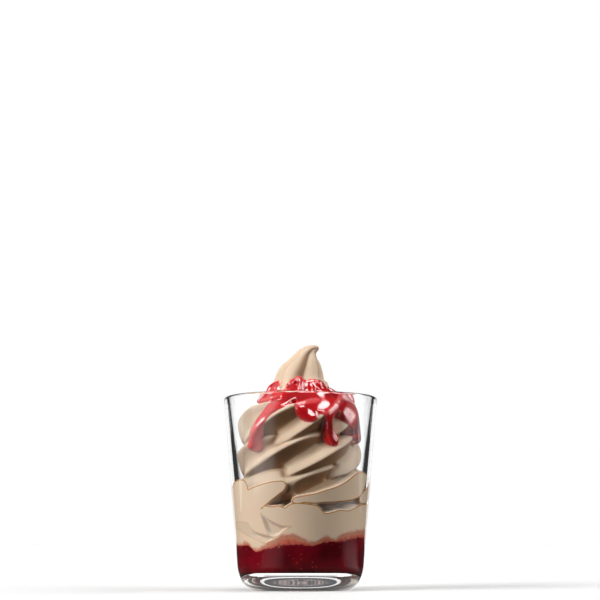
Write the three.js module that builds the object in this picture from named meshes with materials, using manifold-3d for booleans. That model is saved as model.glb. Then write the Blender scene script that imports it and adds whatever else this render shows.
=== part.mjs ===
// Soft-serve sundae built together with its glass: a heavy clear tumbler, fruit sauce in the
// bottom, a piped swirl pressed against the wall and standing out of the rim, and a sauce
// topping that runs down the swirl.  Millimetres, +Z up, the foot of the glass on z = 0.
// A bearing is an angle round the glass in degrees: 0 is the front (-Y), 90 is +X.

import * as THREE from 'three';
import { mergeVertices } from 'three/addons/utils/BufferGeometryUtils.js';
import Module from 'manifold-3d';

const wasm = await Module();
wasm.setup();

const GAP = 0.3;

// ---- driving dimensions: glass ------------------------------------------------------------
const GLASS_HEIGHT = 106.5;
const RIM_RADIUS = 43.1;
const RIM_WALL = 3.0;
const LIP_DROP = 1.5;
const OUTER_DRAFT = 0.0885;
const INNER_DRAFT = 0.129;
const HEEL_HEIGHT = 13.5;
const HEEL_PULL = { radius: 33.6, z: 3.6 };
const FOOT_RADIUS = 27.6;
const PUNT_RADIUS = 20.5;
const PUNT_DEPTH = 1.5;
const FLOOR_HEIGHT = 9.1;
const FLOOR_CORNER = 5.0;
const GLASS_SIDES = 64;
const FILLING_SIDES = 48;
const LIP_STEPS = 5;
const HEEL_STEPS = 5;

// ---- driving dimensions: swirl ------------------------------------------------------------
// Turns are counted along the rope; turn 0 passes the front in the second full tier below
// the rim, turn 1 one tier higher.  Each table is [turn, millimetres].
const PITCH = 17.6;
const TIER_HEIGHT = 71.9;
const COIL_REACH = [[-1.9, 33], [-1.3, 32.4], [-1, 33], [-0.75, 34], [-0.25, 35.9], [0.25, 34.2],
  [0.75, 35.4], [1.25, 31.6], [1.75, 20.4], [2, 16.5]];
const ROPE_RADIUS = [[-1.9, 12.5], [0.25, 12], [0.75, 13], [1.25, 12], [1.75, 9.4], [2, 7]];
const COIL_TILT = [[-1.9, 2.2], [0.75, 2.2], [1.25, -1.6], [2, 0]];
const ROPE_START = -1.5;
const ROPE_END = 2;
const STEPS_PER_TURN = 18;
const STEPS_PER_PIECE = 6;
const ROPE_SIDES = 18;
const PEAK_SIDES = 18;
const ROPE_TALL = 1.1;
const STAR_POINTS = 6;
const FLUTE_DEPTH = 0.32;
const CRESTS_PER_TURN = 8.09;
const CREST_SWING = 0.094;
const FIRST_CREST = 0.055;

// ---- driving dimensions: peak, [x, z, radius] along its bent spine ---------------------------
const PEAK = [[-1, 102, 17], [-0.8, 110, 16], [-0.5, 116.7, 13.4], [1.4, 123.4, 9.6],
  [3.6, 129.7, 6.1], [6.4, 133, 3.2], [8.4, 134.3, 1.8], [10.3, 134.8, 1]];
const PEAK_RIDGE = 10;
const PEAK_FLUTE = 0.15;
const PEAK_STEPS = 15;

// ---- driving dimensions: cream packed against the wall --------------------------------------
// [bearing, z] round the glass; the folds and hollows are strokes of [bearing, z, radius].
const PACKED_EDGE = [[-180, 51], [-140, 53], [-100, 52], [-60, 48], [-39, 44.5], [-22, 45.4],
  [-14, 44.4], [0, 46.9], [12, 46], [21, 41.6], [50, 43.3], [79, 47.1], [110, 49], [145, 47]];
const FOLDS = [
  [[-84, 50, 5.5], [-62, 53.5, 5.2], [-40, 51.5, 4.6], [-20, 56, 2.6]],
  [[-3, 48.6, 1.4], [22, 50.6, 2.8], [44, 54.4, 5], [62, 57.4, 6.4]],
  [[76, 51, 3.4], [100, 56, 5.5], [124, 58.5, 5]],
  [[140, 50, 3], [168, 54.5, 5.4], [192, 58, 5.6]],
];
const HOLLOWS = [
  [[-100, 37.5, 1.6], [-72, 35, 2.6], [-52, 30.4, 2.8], [-30, 27.8, 1.5]],
  [[-37, 39.6, 0.9], [-31, 34.6, 3], [-23, 32.6, 3], [-12, 34.2, 0.8]],
  [[16, 45.6, 0.9], [34, 45, 2.2], [52, 46.2, 2.1], [68, 48.6, 1.2]],
  [[128, 38, 1], [146, 40.4, 2.8], [170, 37.6, 1.8]],
];
const FOLD_INSET = 3.2;

// ---- driving dimensions: sauces -------------------------------------------------------------
const TIDE_LINE = [[-180, 28.4], [-150, 26], [-120, 28], [-90, 25.3], [-71, 24.7], [-60, 25.7],
  [-49, 21.9], [-35, 24.7], [-20, 28.5], [-8, 29.7], [6, 26.5], [12, 25.7], [25, 28.8],
  [34, 27.4], [45, 30], [69, 31.9], [95, 30.6], [125, 27], [150, 29.5]];
const TIDE_CENTRE = 26;
const COAT_THICKNESS = 1.2;
const COAT_SIDES = 10;
const TOPPING_TOP = [[-180, 112], [-140, 114.5], [-110, 111.5], [-90, 113.6], [-76, 115], [-58, 113.5],
  [-44, 110.6], [-30, 110], [-18, 115.1], [-8, 116.9], [8, 117], [22, 115.7], [31, 116.2],
  [52, 115.4], [70, 112], [90, 110.4], [120, 114], [150, 116]];
const TOPPING_HEM = [[-180, 101], [-150, 103.5], [-120, 102], [-90, 104.5], [-60, 103.8], [-30, 103],
  [-5, 101], [20, 98], [40, 95], [60, 96.5], [80, 97], [110, 100], [145, 98]];
const RUNS = [
  [[-8, 103.6, 3], [-20, 101.6, 3.2], [-30, 98, 3.3], [-38, 91.5, 3.3], [-42, 84.5, 3.4], [-45, 78.6, 3.8]],
  [[5, 99, 6], [8, 95.8, 5]],
  [[27, 96, 3.6], [26, 90, 3.1], [28, 85, 3.3], [29, 81.8, 4.1]],
  [[70, 97, 8.5], [76, 90, 7.2], [80, 84.6, 4]],
  [[128, 99, 4.6], [133, 92, 3.3], [135, 85, 3.7]],
  [[-148, 101, 4.4], [-142, 94, 3.2], [-139, 88, 3.8]],
  [[176, 98, 6], [180, 93, 4.6]],
];
const RUN_INSET = 1.4;
const RUN_SEARCH = { bearings: [-6, 0, 6], heights: [-1.5, 0, 1.5] };
const MANTLE_RADII = { inner: 9, outer: 46 };

// ---- small tools ----------------------------------------------------------------------------
const radians = THREE.MathUtils.degToRad;

// Value of a [position, value] table, with a soft ease between neighbouring entries.
function eased(table, position) {
  let upper = 1;
  while (upper < table.length - 1 && table[upper][0] < position) upper += 1;
  const [x0, y0] = table[upper - 1];
  const [x1, y1] = table[upper];
  return y0 + (y1 - y0) * THREE.MathUtils.smoothstep(position, x0, x1);
}

// The same for a table of bearings that goes once round the glass from -180.
function easedRound(table, bearing) {
  const wrapped = THREE.MathUtils.euclideanModulo(bearing + 180, 360) - 180;
  return eased([...table, [180, table[0][1]]], wrapped);
}

// Point at a bearing and distance from the axis of the glass.
function polar(bearing, radius, z) {
  const angle = radians(bearing);
  return new THREE.Vector3(radius * Math.sin(angle), -radius * Math.cos(angle), z);
}

// Radii of the glass wall at a height.
const outerWall = (z) => RIM_RADIUS - OUTER_DRAFT * (GLASS_HEIGHT - LIP_DROP - z);
const innerWall = (z) => RIM_RADIUS - RIM_WALL - INNER_DRAFT * (GLASS_HEIGHT - LIP_DROP - z);

// Closed geometry through a stack of rings, each with the same number of points.
function loft(rings) {
  const sides = rings[0].length;
  const points = rings.flat();
  const index = [];
  for (let ring = 0; ring < rings.length - 1; ring += 1) {
    for (let side = 0; side < sides; side += 1) {
      const next = (side + 1) % sides;
      const [a, b] = [ring * sides + side, ring * sides + next];
      index.push(a, b, b + sides, a, b + sides, a + sides);
    }
  }
  const first = (rings.length - 1) * sides;
  const centre = (ring) => ring.reduce((sum, p) => sum.add(p), new THREE.Vector3()).divideScalar(sides);
  points.push(centre(rings[0]), centre(rings[rings.length - 1]));
  for (let side = 0; side < sides; side += 1) {
    const next = (side + 1) % sides;
    index.push(points.length - 2, next, side);
    index.push(points.length - 1, first + side, first + next);
  }
  const geometry = new THREE.BufferGeometry().setFromPoints(points);
  geometry.setIndex(index);
  return facingOut(geometry);
}

// Turns every triangle round where the closed geometry encloses a negative volume.
function facingOut(geometry) {
  const position = geometry.attributes.position;
  const index = geometry.index.array;
  const corner = (i) => new THREE.Vector3().fromBufferAttribute(position, index[i]);
  let volume = 0;
  for (let i = 0; i < index.length; i += 3) {
    volume += corner(i).dot(corner(i + 1).cross(corner(i + 2)));
  }
  if (volume < 0) {
    for (let i = 0; i < index.length; i += 3) {
      [index[i + 1], index[i + 2]] = [index[i + 2], index[i + 1]];
    }
  }
  return geometry;
}

// Round bar with domed ends through [point, radius] stations.
function bar(stations, sides = 8, stepsPerStation = 2) {
  const curve = new THREE.CatmullRomCurve3(stations.map(([point]) => point));
  const steps = (stations.length - 1) * stepsPerStation;
  const frames = frenet(curve, steps);
  const radiusTable = stations.map(([, radius], i) => [i / (stations.length - 1), radius]);
  const rings = [];
  const addRing = (step, shift, radius) => {
    const centre = curve.getPoint(step / steps).addScaledVector(frames.tangents[step], shift);
    rings.push(Array.from({ length: sides }, (_, side) => {
      const angle = (2 * Math.PI * side) / sides;
      return centre.clone()
        .addScaledVector(frames.normals[step], radius * Math.cos(angle))
        .addScaledVector(frames.binormals[step], radius * Math.sin(angle));
    }));
  };
  const radiusAt = (step) => eased(radiusTable, step / steps);
  const dome = [75, 45].map(radians);
  dome.forEach((angle) => addRing(0, -radiusAt(0) * Math.sin(angle), radiusAt(0) * Math.cos(angle)));
  for (let step = 0; step <= steps; step += 1) addRing(step, 0, radiusAt(step));
  dome.reverse().forEach((angle) => {
    addRing(steps, radiusAt(steps) * Math.sin(angle), radiusAt(steps) * Math.cos(angle));
  });
  return loft(rings);
}

// Frames that don't turn about the curve, at even steps of its parameter.
function frenet(curve, steps) {
  const tangents = [];
  const normals = [];
  const binormals = [];
  let normal = new THREE.Vector3(0, 0, 1);
  for (let step = 0; step <= steps; step += 1) {
    const tangent = curve.getTangent(step / steps);
    normal = normal.clone().addScaledVector(tangent, -normal.dot(tangent)).normalize();
    tangents.push(tangent);
    normals.push(normal);
    binormals.push(new THREE.Vector3().crossVectors(tangent, normal));
  }
  return { tangents, normals, binormals };
}

// manifold-3d solid of a closed geometry.
function solid(geometry) {
  const bare = geometry.clone();
  bare.deleteAttribute('normal');
  bare.deleteAttribute('uv');
  const merged = mergeVertices(bare, 1e-4);
  return new wasm.Manifold(new wasm.Mesh({
    numProp: 3,
    vertProperties: new Float32Array(merged.attributes.position.array),
    triVerts: new Uint32Array(merged.index.array),
  }));
}

// The largest body of a manifold-3d solid, without any scrap or sealed hollow, as a geometry.
function geometryOf(joined) {
  const [largest] = joined.decompose().sort((a, b) => b.volume() - a.volume());
  const mesh = largest.getMesh();
  const geometry = new THREE.BufferGeometry();
  geometry.setAttribute('position', new THREE.BufferAttribute(new Float32Array(mesh.vertProperties), 3));
  geometry.setIndex(new THREE.BufferAttribute(new Uint32Array(mesh.triVerts), 1));
  return geometry;
}

function lathe(profile, sides = GLASS_SIDES) {
  const geometry = new THREE.LatheGeometry(profile, sides);
  geometry.rotateX(Math.PI / 2);
  return geometry;
}

// ---- glass ------------------------------------------------------------------------------------
function glassGeometry() {
  const v = (radius, z) => new THREE.Vector2(radius, z);
  const profile = [];
  const punt = new THREE.QuadraticBezierCurve(v(0, PUNT_DEPTH), v(PUNT_RADIUS * 0.6, PUNT_DEPTH), v(PUNT_RADIUS, 0));
  profile.push(...punt.getPoints(3));
  const heel = new THREE.QuadraticBezierCurve(
    v(FOOT_RADIUS, 0),
    v(HEEL_PULL.radius, HEEL_PULL.z),
    v(outerWall(HEEL_HEIGHT), HEEL_HEIGHT),
  );
  profile.push(...heel.getPoints(HEEL_STEPS));
  const lipZ = GLASS_HEIGHT - LIP_DROP;
  const lipMiddle = RIM_RADIUS - RIM_WALL / 2;
  for (let step = 0; step <= LIP_STEPS; step += 1) {
    const angle = (Math.PI * step) / LIP_STEPS;
    profile.push(v(lipMiddle + (RIM_WALL / 2) * Math.cos(angle), lipZ + LIP_DROP * Math.sin(angle)));
  }
  profile.push(...floorCorner(0).reverse());
  profile.push(v(0, FLOOR_HEIGHT));
  return lathe(profile);
}

// Rounded corner between the floor of the cavity and its wall, drawn in by an inset.
function floorCorner(inset, steps = 4) {
  const floor = FLOOR_HEIGHT + inset;
  const top = floor + FLOOR_CORNER;
  const wall = innerWall(top) - inset;
  const points = [];
  for (let step = 0; step <= steps; step += 1) {
    const angle = (Math.PI / 2) * (step / steps);
    points.push(new THREE.Vector2(
      wall - FLOOR_CORNER * (1 - Math.sin(angle)),
      top - FLOOR_CORNER * Math.cos(angle),
    ));
  }
  return points;
}

// Space that the filling may take: the cavity less the gap, and open above the rim.
function cavitySolid() {
  const lipZ = GLASS_HEIGHT - LIP_DROP;
  const profile = [
    new THREE.Vector2(0, FLOOR_HEIGHT + GAP),
    ...floorCorner(GAP),
    new THREE.Vector2(innerWall(lipZ) - GAP, lipZ),
    new THREE.Vector2(innerWall(lipZ) - GAP, GLASS_HEIGHT + 40),
    new THREE.Vector2(0, GLASS_HEIGHT + 40),
  ];
  return solid(lathe(profile, FILLING_SIDES));
}

// ---- bottom sauce -------------------------------------------------------------------------------
// Height of the sauce's uneven top, lifted by a clearance.
function tide(bearing, radius, lift = 0) {
  const share = Math.min(1, (radius / innerWall(TIDE_CENTRE)) ** 1.5);
  return TIDE_CENTRE + (easedRound(TIDE_LINE, bearing) - TIDE_CENTRE) * share + lift;
}

const bearings = (count) => Array.from({ length: count }, (_, i) => -180 + (360 * i) / count);

function bottomSauceGeometry() {
  const around = bearings(FILLING_SIDES);
  const rings = [];
  const corner = floorCorner(GAP, 3);
  rings.push(around.map((bearing) => polar(bearing, 10, FLOOR_HEIGHT + GAP)));
  corner.forEach((p) => rings.push(around.map((bearing) => polar(bearing, p.x, p.y))));
  rings.push(around.map((bearing) => {
    const z = tide(bearing, innerWall(TIDE_CENTRE));
    return polar(bearing, innerWall(z) - GAP, z);
  }));
  [24, 16, 8].forEach((radius) => {
    rings.push(around.map((bearing) => polar(bearing, radius, tide(bearing, radius))));
  });
  return loft(rings);
}

// Everything at and below the top of the bottom sauce, with clearance.
function belowTide() {
  const around = bearings(FILLING_SIDES);
  const ring = (radius, z) => around.map((bearing) => polar(bearing, radius, z(bearing)));
  return solid(loft([
    ring(10, () => 0),
    ring(50, () => 0),
    ring(50, (b) => tide(b, 50, GAP)),
    ring(innerWall(TIDE_CENTRE), (b) => tide(b, 50, GAP)),
    ...[24, 16, 8].map((radius) => ring(radius, (b) => tide(b, radius, GAP))),
  ]));
}

// ---- swirl -----------------------------------------------------------------------------------------
const crestsPassed = (turn) => CRESTS_PER_TURN * (turn - FIRST_CREST)
  - CREST_SWING * Math.sin(2 * Math.PI * (turn - FIRST_CREST));

const coilCentre = (turn) => eased(COIL_REACH, turn) - eased(ROPE_RADIUS, turn);
const coilHeight = (turn) => TIER_HEIGHT + PITCH * turn
  - eased(COIL_TILT, turn) * Math.sin(2 * Math.PI * turn);

// Star section of the nozzle: 1 on a crest, less in the flutes between.
const star = (angle, depth) => 1 - depth * Math.abs(Math.sin((STAR_POINTS * angle) / 2));

// One section of the rope: fluted and twisted, or plain and round where the flutes are filled.
function ropeRing(turn, { grow, flute, sides }) {
  const radius = eased(ROPE_RADIUS, turn);
  const twist = flute > 0 ? (2 * Math.PI * crestsPassed(turn)) / STAR_POINTS : 0;
  return Array.from({ length: sides }, (_, side) => {
    const local = (2 * Math.PI * side) / sides;
    const reach = radius * star(local, flute) + grow;
    const angle = local + twist;
    return polar(
      360 * turn,
      coilCentre(turn) + reach * Math.cos(angle),
      coilHeight(turn) + ROPE_TALL * reach * Math.sin(angle),
    );
  });
}

// The rope in short closed lengths that share their end rings.
function ropePieces(start, section) {
  const steps = Math.round((ROPE_END - start) * STEPS_PER_TURN);
  const rings = Array.from({ length: steps + 1 }, (_, i) => ropeRing(start + i / STEPS_PER_TURN, section));
  const pieces = [];
  for (let first = 0; first < steps; first += STEPS_PER_PIECE) {
    pieces.push(solid(loft(rings.slice(first, first + STEPS_PER_PIECE + 1))));
  }
  return pieces;
}

// Solid middle that the rope is wound round.
function coreSolid(grow) {
  const profile = [new THREE.Vector2(0, 20)];
  for (let turn = ROPE_START; turn <= ROPE_END; turn += 0.25) {
    profile.push(new THREE.Vector2(coilCentre(turn) + 3 + grow, TIER_HEIGHT + PITCH * turn));
  }
  profile.push(new THREE.Vector2(0, TIER_HEIGHT + PITCH * ROPE_END));
  return solid(lathe(profile, 24));
}

function peakSolid(grow) {
  const curve = new THREE.CatmullRomCurve3(PEAK.map(([x, z]) => new THREE.Vector3(x, 0, z)));
  const radiusTable = PEAK.map(([, , radius], i) => [i / (PEAK.length - 1), radius]);
  const rings = [];
  for (let step = 0; step <= PEAK_STEPS; step += 1) {
    const share = step / PEAK_STEPS;
    const centre = curve.getPoint(share);
    const tangent = curve.getTangent(share);
    const radius = eased(radiusTable, share);
    const flute = PEAK_FLUTE * Math.min(1, radius / 6);
    rings.push(Array.from({ length: PEAK_SIDES }, (_, side) => {
      const local = (2 * Math.PI * side) / PEAK_SIDES;
      const reach = radius * star(local, flute) + grow;
      const angle = local + radians(PEAK_RIDGE);
      return new THREE.Vector3(
        centre.x + reach * Math.sin(angle) * tangent.z,
        -reach * Math.cos(angle),
        centre.z - reach * Math.sin(angle) * tangent.x,
      );
    }));
  }
  return solid(loft(rings));
}

// Cream pressed flat against the wall, from under the tide line up to its own edge.
function packedSolid(grow) {
  const around = bearings(FILLING_SIDES);
  const ring = (drop, inset) => around.map((bearing) => {
    const z = easedRound(PACKED_EDGE, bearing) - drop + grow;
    return polar(bearing, innerWall(z) - inset, z);
  });
  return solid(loft([around.map((bearing) => polar(bearing, innerWall(14), 14)), ring(1.6, -1), ring(0, 2.5)]));
}

// Bar laid along the inside of the wall, through strokes of [bearing, z, radius].
function wallStroke(stroke, inset) {
  const stations = stroke.map(([bearing, z, radius]) => [polar(bearing, innerWall(z) - inset, z), radius]);
  return solid(bar(stations));
}

// The whole body of cream, grown outwards by a clearance or a thickness.
function creamSolid(cavity, grow = 0) {
  const added = [
    ...ropePieces(ROPE_START, { grow, flute: FLUTE_DEPTH, sides: ROPE_SIDES }),
    coreSolid(grow),
    peakSolid(grow),
    packedSolid(grow),
    ...FOLDS.map((fold) => wallStroke(fold, FOLD_INSET)),
  ];
  const whole = added.reduce((sum, piece) => sum.add(piece));
  const hollowed = HOLLOWS.reduce((rest, hollow) => rest.subtract(wallStroke(hollow, 0)), whole);
  return hollowed.intersect(cavity);
}

// ---- sauce topping --------------------------------------------------------------------------------
// Distance from the axis to the outside of a mesh at a bearing and height.
function surfaceRadius(mesh, bearing, z) {
  const start = polar(bearing, MANTLE_RADII.outer, z);
  const inwards = new THREE.Vector3(-start.x, -start.y, 0).normalize();
  const [hit] = new THREE.Raycaster(start, inwards).intersectObject(mesh);
  return hit ? MANTLE_RADII.outer - hit.distance : 0;
}

// The same over the crests round a place, so that a run bridges the flutes.
function crestRadius(mesh, bearing, z) {
  const around = RUN_SEARCH.bearings.flatMap((turned) => RUN_SEARCH.heights
    .map((raised) => surfaceRadius(mesh, bearing + turned, z + raised)));
  return Math.max(...around);
}

// Band round the foot of the peak between the topping's hem and its upper edge.
function mantleSolid() {
  const around = bearings(FILLING_SIDES * 0.75);
  const ring = (radius, table) => around.map((b) => polar(b, radius, easedRound(table, b)));
  return solid(loft([
    ring(MANTLE_RADII.inner, TOPPING_HEM),
    ring(MANTLE_RADII.outer, TOPPING_HEM),
    ring(MANTLE_RADII.outer, TOPPING_TOP),
    ring(MANTLE_RADII.inner, TOPPING_TOP),
  ]));
}

// Smooth outside of the coat, which fills the flutes of the rope.
function coatSolid() {
  const plain = { grow: COAT_THICKNESS, flute: 0, sides: COAT_SIDES };
  return ropePieces(0.5, plain).reduce((sum, piece) => sum.add(piece), peakSolid(COAT_THICKNESS));
}

function runSolid(run, creamMesh) {
  const stations = run.map(([bearing, z, radius]) => (
    [polar(bearing, crestRadius(creamMesh, bearing, z) - RUN_INSET, z), radius]
  ));
  return solid(bar(stations));
}

function toppingSolid(cavity, creamMesh) {
  const coat = mantleSolid().intersect(coatSolid());
  const poured = RUNS.reduce((sum, run) => sum.add(runSolid(run, creamMesh)), coat);
  return poured.subtract(creamSolid(cavity, GAP));
}

// ---- the sundae --------------------------------------------------------------------------------------
const sundae = new THREE.Group();

function addPiece(name, geometry, look) {
  geometry.computeVertexNormals();
  const mesh = new THREE.Mesh(geometry, new THREE.MeshStandardMaterial(look));
  mesh.name = name;
  sundae.add(mesh);
}

const cavity = cavitySolid();
const creamGeometry = geometryOf(creamSolid(cavity).subtract(belowTide()));
const topping = toppingSolid(cavity, new THREE.Mesh(creamGeometry));

addPiece('glass', glassGeometry(), {
  color: 0xe9eeee, roughness: 0.05, metalness: 0, transparent: true, opacity: 0.4,
});
addPiece('bottom_sauce', bottomSauceGeometry(), { color: 0x6a0a18, roughness: 0.2, metalness: 0 });
addPiece('soft_serve', creamGeometry, { color: 0xd9bd9f, roughness: 0.55, metalness: 0 });
addPiece('sauce_topping', geometryOf(topping), { color: 0xb0141f, roughness: 0.12, metalness: 0 });

export default sundae;
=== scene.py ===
"""Looks of an ice cream sundae in its glass: soft serve, fruit sauce below and above, a tumbler.

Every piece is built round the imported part. Sizes are in millimetres until a mesh is made, which
is in metres. A bearing is an angle round the glass in degrees: 0 at the front (-Y), 90 on the
right (+X). A turn is one turn of the piped rope, 0 where its second tier passes the front.
"""

import logging
import math
from dataclasses import dataclass
from enum import Enum

import bpy
import numpy as np
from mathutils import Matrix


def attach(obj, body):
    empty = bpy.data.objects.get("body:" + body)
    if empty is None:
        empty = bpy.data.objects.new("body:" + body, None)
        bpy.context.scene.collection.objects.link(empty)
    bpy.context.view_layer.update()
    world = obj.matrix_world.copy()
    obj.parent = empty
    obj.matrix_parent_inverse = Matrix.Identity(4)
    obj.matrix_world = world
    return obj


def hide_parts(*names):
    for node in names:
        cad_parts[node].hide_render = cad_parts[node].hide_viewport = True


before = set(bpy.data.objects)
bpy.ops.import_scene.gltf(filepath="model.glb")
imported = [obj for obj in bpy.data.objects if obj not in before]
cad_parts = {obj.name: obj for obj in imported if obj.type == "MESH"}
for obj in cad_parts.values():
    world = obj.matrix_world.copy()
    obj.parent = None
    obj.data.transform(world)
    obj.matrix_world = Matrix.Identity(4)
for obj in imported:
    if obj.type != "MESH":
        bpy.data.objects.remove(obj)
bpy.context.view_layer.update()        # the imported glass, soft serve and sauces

MM = 0.001  # metres in a millimetre
SEED = 7

WHITE = (1.0, 1.0, 1.0, 1.0)

Table = tuple[tuple[float, ...], ...]
Span = tuple[float, float]
Colour = tuple[float, float, float, float]
Array = np.ndarray
Material = bpy.types.Material
Socket = bpy.types.NodeSocket
Value = Socket | float | tuple
Piece = bpy.types.Object

log = logging.getLogger("sundae")


class Body(Enum):
    """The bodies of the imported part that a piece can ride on."""

    ROOT = "root"


class Node(Enum):
    """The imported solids, each of which one piece of this file stands for."""

    GLASS = "glass"
    BOTTOM_SAUCE = "bottom_sauce"
    SOFT_SERVE = "soft_serve"
    SAUCE_TOPPING = "sauce_topping"


# ---------------------------------------------------------------- curves and fields


def eased(table: Table, at: Array) -> Array:
    """Reads a table of (place, value) rows, easing in and out between them.

    Args:
        table: the rows, in rising order of place.
        at: the places to read.

    Returns:
        The value at each place, held at the ends.
    """
    rows = np.array(table, dtype=float)
    at = np.asarray(at, dtype=float)
    row = np.clip(np.searchsorted(rows[:, 0], at) - 1, 0, len(rows) - 2)
    share = soft_steps((at - rows[row, 0]) / (rows[row + 1, 0] - rows[row, 0]))
    return rows[row, 1] * (1.0 - share) + rows[row + 1, 1] * share


def curve_through(points: Table, closed: bool = False, steps: int = 6) -> Array:
    """Draws a smooth curve through points of any number of values.

    Args:
        points: the points that the curve passes.
        closed: whether the last point joins the first.
        steps: how many stretches each span is cut into.

    Returns:
        The curve's points, one row each.
    """
    given = np.array(points, dtype=float)
    count = len(given)
    ahead = [(i + k) % count if closed else min(max(i + k, 0), count - 1)
             for i in range(count if closed else count - 1) for k in (-1, 0, 1, 2)]
    before, start, end, after = given[ahead].reshape(-1, 4, given.shape[1]).transpose(1, 0, 2)
    u = (np.arange(steps) / steps)[None, :, None]
    before, start, end, after = (p[:, None, :] for p in (before, start, end, after))
    curve = 0.5 * (2 * start + (end - before) * u + (2 * before - 5 * start + 4 * end - after) * u**2
                   + (3 * start - before - 3 * end + after) * u**3)
    curve = curve.reshape(-1, given.shape[1])
    return curve if closed else np.vstack([curve, given[-1]])


def round_line(points: Table, bearings: Array) -> Array:
    """Reads a line that runs once round the glass, given as (bearing, value) points.

    Args:
        points: the line's points, in rising order of bearing over one turn.
        bearings: the bearings to read.

    Returns:
        The line's value at each bearing.
    """
    turn = np.array([360.0, 0.0])
    given = np.array(points, dtype=float)
    curve = curve_through(np.vstack([given[-3:] - turn, given, given[:3] + turn]))
    return np.interp(bearings, np.maximum.accumulate(curve[:, 0]), curve[:, 1])


def smooth_max(first: Array, second: Array, width: float) -> Array:
    """The larger of two fields, with a fillet of about the given width where they cross."""
    blend = np.clip(0.5 + 0.5 * (first - second) / width, 0.0, 1.0)
    return second + (first - second) * blend + width * blend * (1.0 - blend)


def quarter_round(distance: Array, radius: float) -> Array:
    """How far a rounded edge has fallen away at a distance from where it starts."""
    run = np.clip(distance, 0.0, radius)
    return radius - np.sqrt(radius**2 - run**2)


def soft_steps(share: Array) -> Array:
    """Eases a share between 0 and 1."""
    share = np.clip(share, 0.0, 1.0)
    return share * share * (3.0 - 2.0 * share)


def rounded_wave(wave: Array, rounding: float) -> Array:
    """The size of a wave, from 0 to 1, with its sharp zero rounded."""
    return (np.sqrt(wave**2 + rounding**2) - rounding) / (math.sqrt(1 + rounding**2) - rounding)


def rounded_edge(depth: Array, width: float) -> Array:
    """The share of its full height that a layer has at a depth inside its rounded edge."""
    return np.sqrt(1.0 - (1.0 - np.clip(depth / width, 0.0, 1.0)) ** 2)


def sines(*angles: float) -> list[float]:
    """The sines of elevations in degrees, none of them past straight up or down."""
    return [math.sin(math.radians(max(min(angle, 90.0), -90.0))) for angle in angles]


def blurred(field: Array, spread: float) -> Array:
    """Smooths a field of rows and bearings, which close round the axis.

    Args:
        field: one row for each height, one column for each bearing.
        spread: the blur's standard deviation, in cells.

    Returns:
        The smoothed field.
    """
    reach = int(math.ceil(3 * spread))
    weights = np.exp(-0.5 * (np.arange(-reach, reach + 1) / spread) ** 2)
    weights /= weights.sum()
    rows = np.pad(field, ((reach, reach), (0, 0)), mode="edge")
    field = sum(w * rows[k:k + len(field)] for k, w in enumerate(weights))
    return sum(w * np.roll(field, k - reach, axis=1) for k, w in enumerate(weights))


def waves(bearings: Array, heights: Array, length: float, seed: int) -> Array:
    """An uneven field between about -1 and 1, from a few waves that close round the glass.

    Args:
        bearings: the bearing of each place.
        heights: its height.
        length: the mean wave length in millimetres.
        seed: the number that picks the waves.

    Returns:
        The field at each place.
    """
    count = 14
    shortest = 0.6  # a share of the mean length
    longest = 1.7
    radius = 33.0  # the usual radius, which turns a wave length into a number of waves
    evening = 1.3  # brings the sum of the waves down to about 1
    draw = np.random.default_rng(seed)
    total = np.zeros(np.broadcast(bearings, heights).shape)
    for _ in range(count):
        way = draw.uniform(0, math.tau)
        pace = math.tau / (length * draw.uniform(shortest, longest))
        round_pace = round(pace * math.cos(way) * radius)
        total += np.sin(round_pace * np.radians(bearings) + pace * math.sin(way) * heights
                        + draw.uniform(0, math.tau))
    return total / math.sqrt(count * evening)


def signed_distance(across: Array, up: Array, outline: Array) -> Array:
    """Distance from places on a flat map to a closed outline, negative inside it.

    Args:
        across: the places' first coordinate.
        up: their second.
        outline: the outline's corners, one row each.

    Returns:
        The distance at each place.
    """
    nearest = np.full(across.shape, np.inf)
    inside = np.zeros(across.shape, dtype=bool)
    for (x0, y0), (x1, y1) in zip(outline, np.roll(outline, -1, axis=0)):
        run, rise = x1 - x0, y1 - y0
        length = run * run + rise * rise
        if length == 0.0:
            continue
        along = np.clip(((across - x0) * run + (up - y0) * rise) / length, 0.0, 1.0)
        nearest = np.minimum(nearest, (across - x0 - along * run) ** 2 + (up - y0 - along * rise) ** 2)
        if rise:
            crossed = ((y0 > up) != (y1 > up)) & (across < run * (up - y0) / rise + x0)
            inside ^= crossed
    return np.where(inside, -1.0, 1.0) * np.sqrt(nearest)


# ---------------------------------------------------------------- meshes


def grid_faces(rows: int, columns: int) -> Array:
    """Four-sided faces between rings of points, facing away from the axis.

    Args:
        rows: the number of rings, lowest first.
        columns: the points in a ring, in rising order of bearing.

    Returns:
        One row of four point numbers for each face.
    """
    row, column = np.meshgrid(np.arange(rows - 1), np.arange(columns), indexing="ij")
    beside = (column + 1) % columns
    faces = np.stack([row * columns + column, row * columns + beside,
                      (row + 1) * columns + beside, (row + 1) * columns + column], axis=-1)
    return faces.reshape(-1, 4)


def ring_points(radius: Array, heights: Array, angles: Array) -> Array:
    """Places radii and heights round the axis, as (row, column, 3) points."""
    across = radius * np.sin(angles)
    return np.stack([across, -radius * np.cos(angles), np.broadcast_to(heights, across.shape)], axis=-1)


def closed_rings(rings: Array, below: tuple, above: tuple) -> tuple[Array, list]:
    """Closes a stack of rings with one point at each end.

    Args:
        rings: the rings' points, as (row, column, 3), the first ring first.
        below: the point that closes the first ring.
        above: the point that closes the last.

    Returns:
        The points, one row each with the two ends last, and the faces.
    """
    rows, columns = rings.shape[:2]
    count = rows * columns
    last = count - columns
    faces = grid_faces(rows, columns).tolist()
    faces += [(count, (k + 1) % columns, k) for k in range(columns)]
    faces += [(count + 1, last + k, last + (k + 1) % columns) for k in range(columns)]
    return np.vstack([rings.reshape(-1, 3), below, above]), faces


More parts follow.
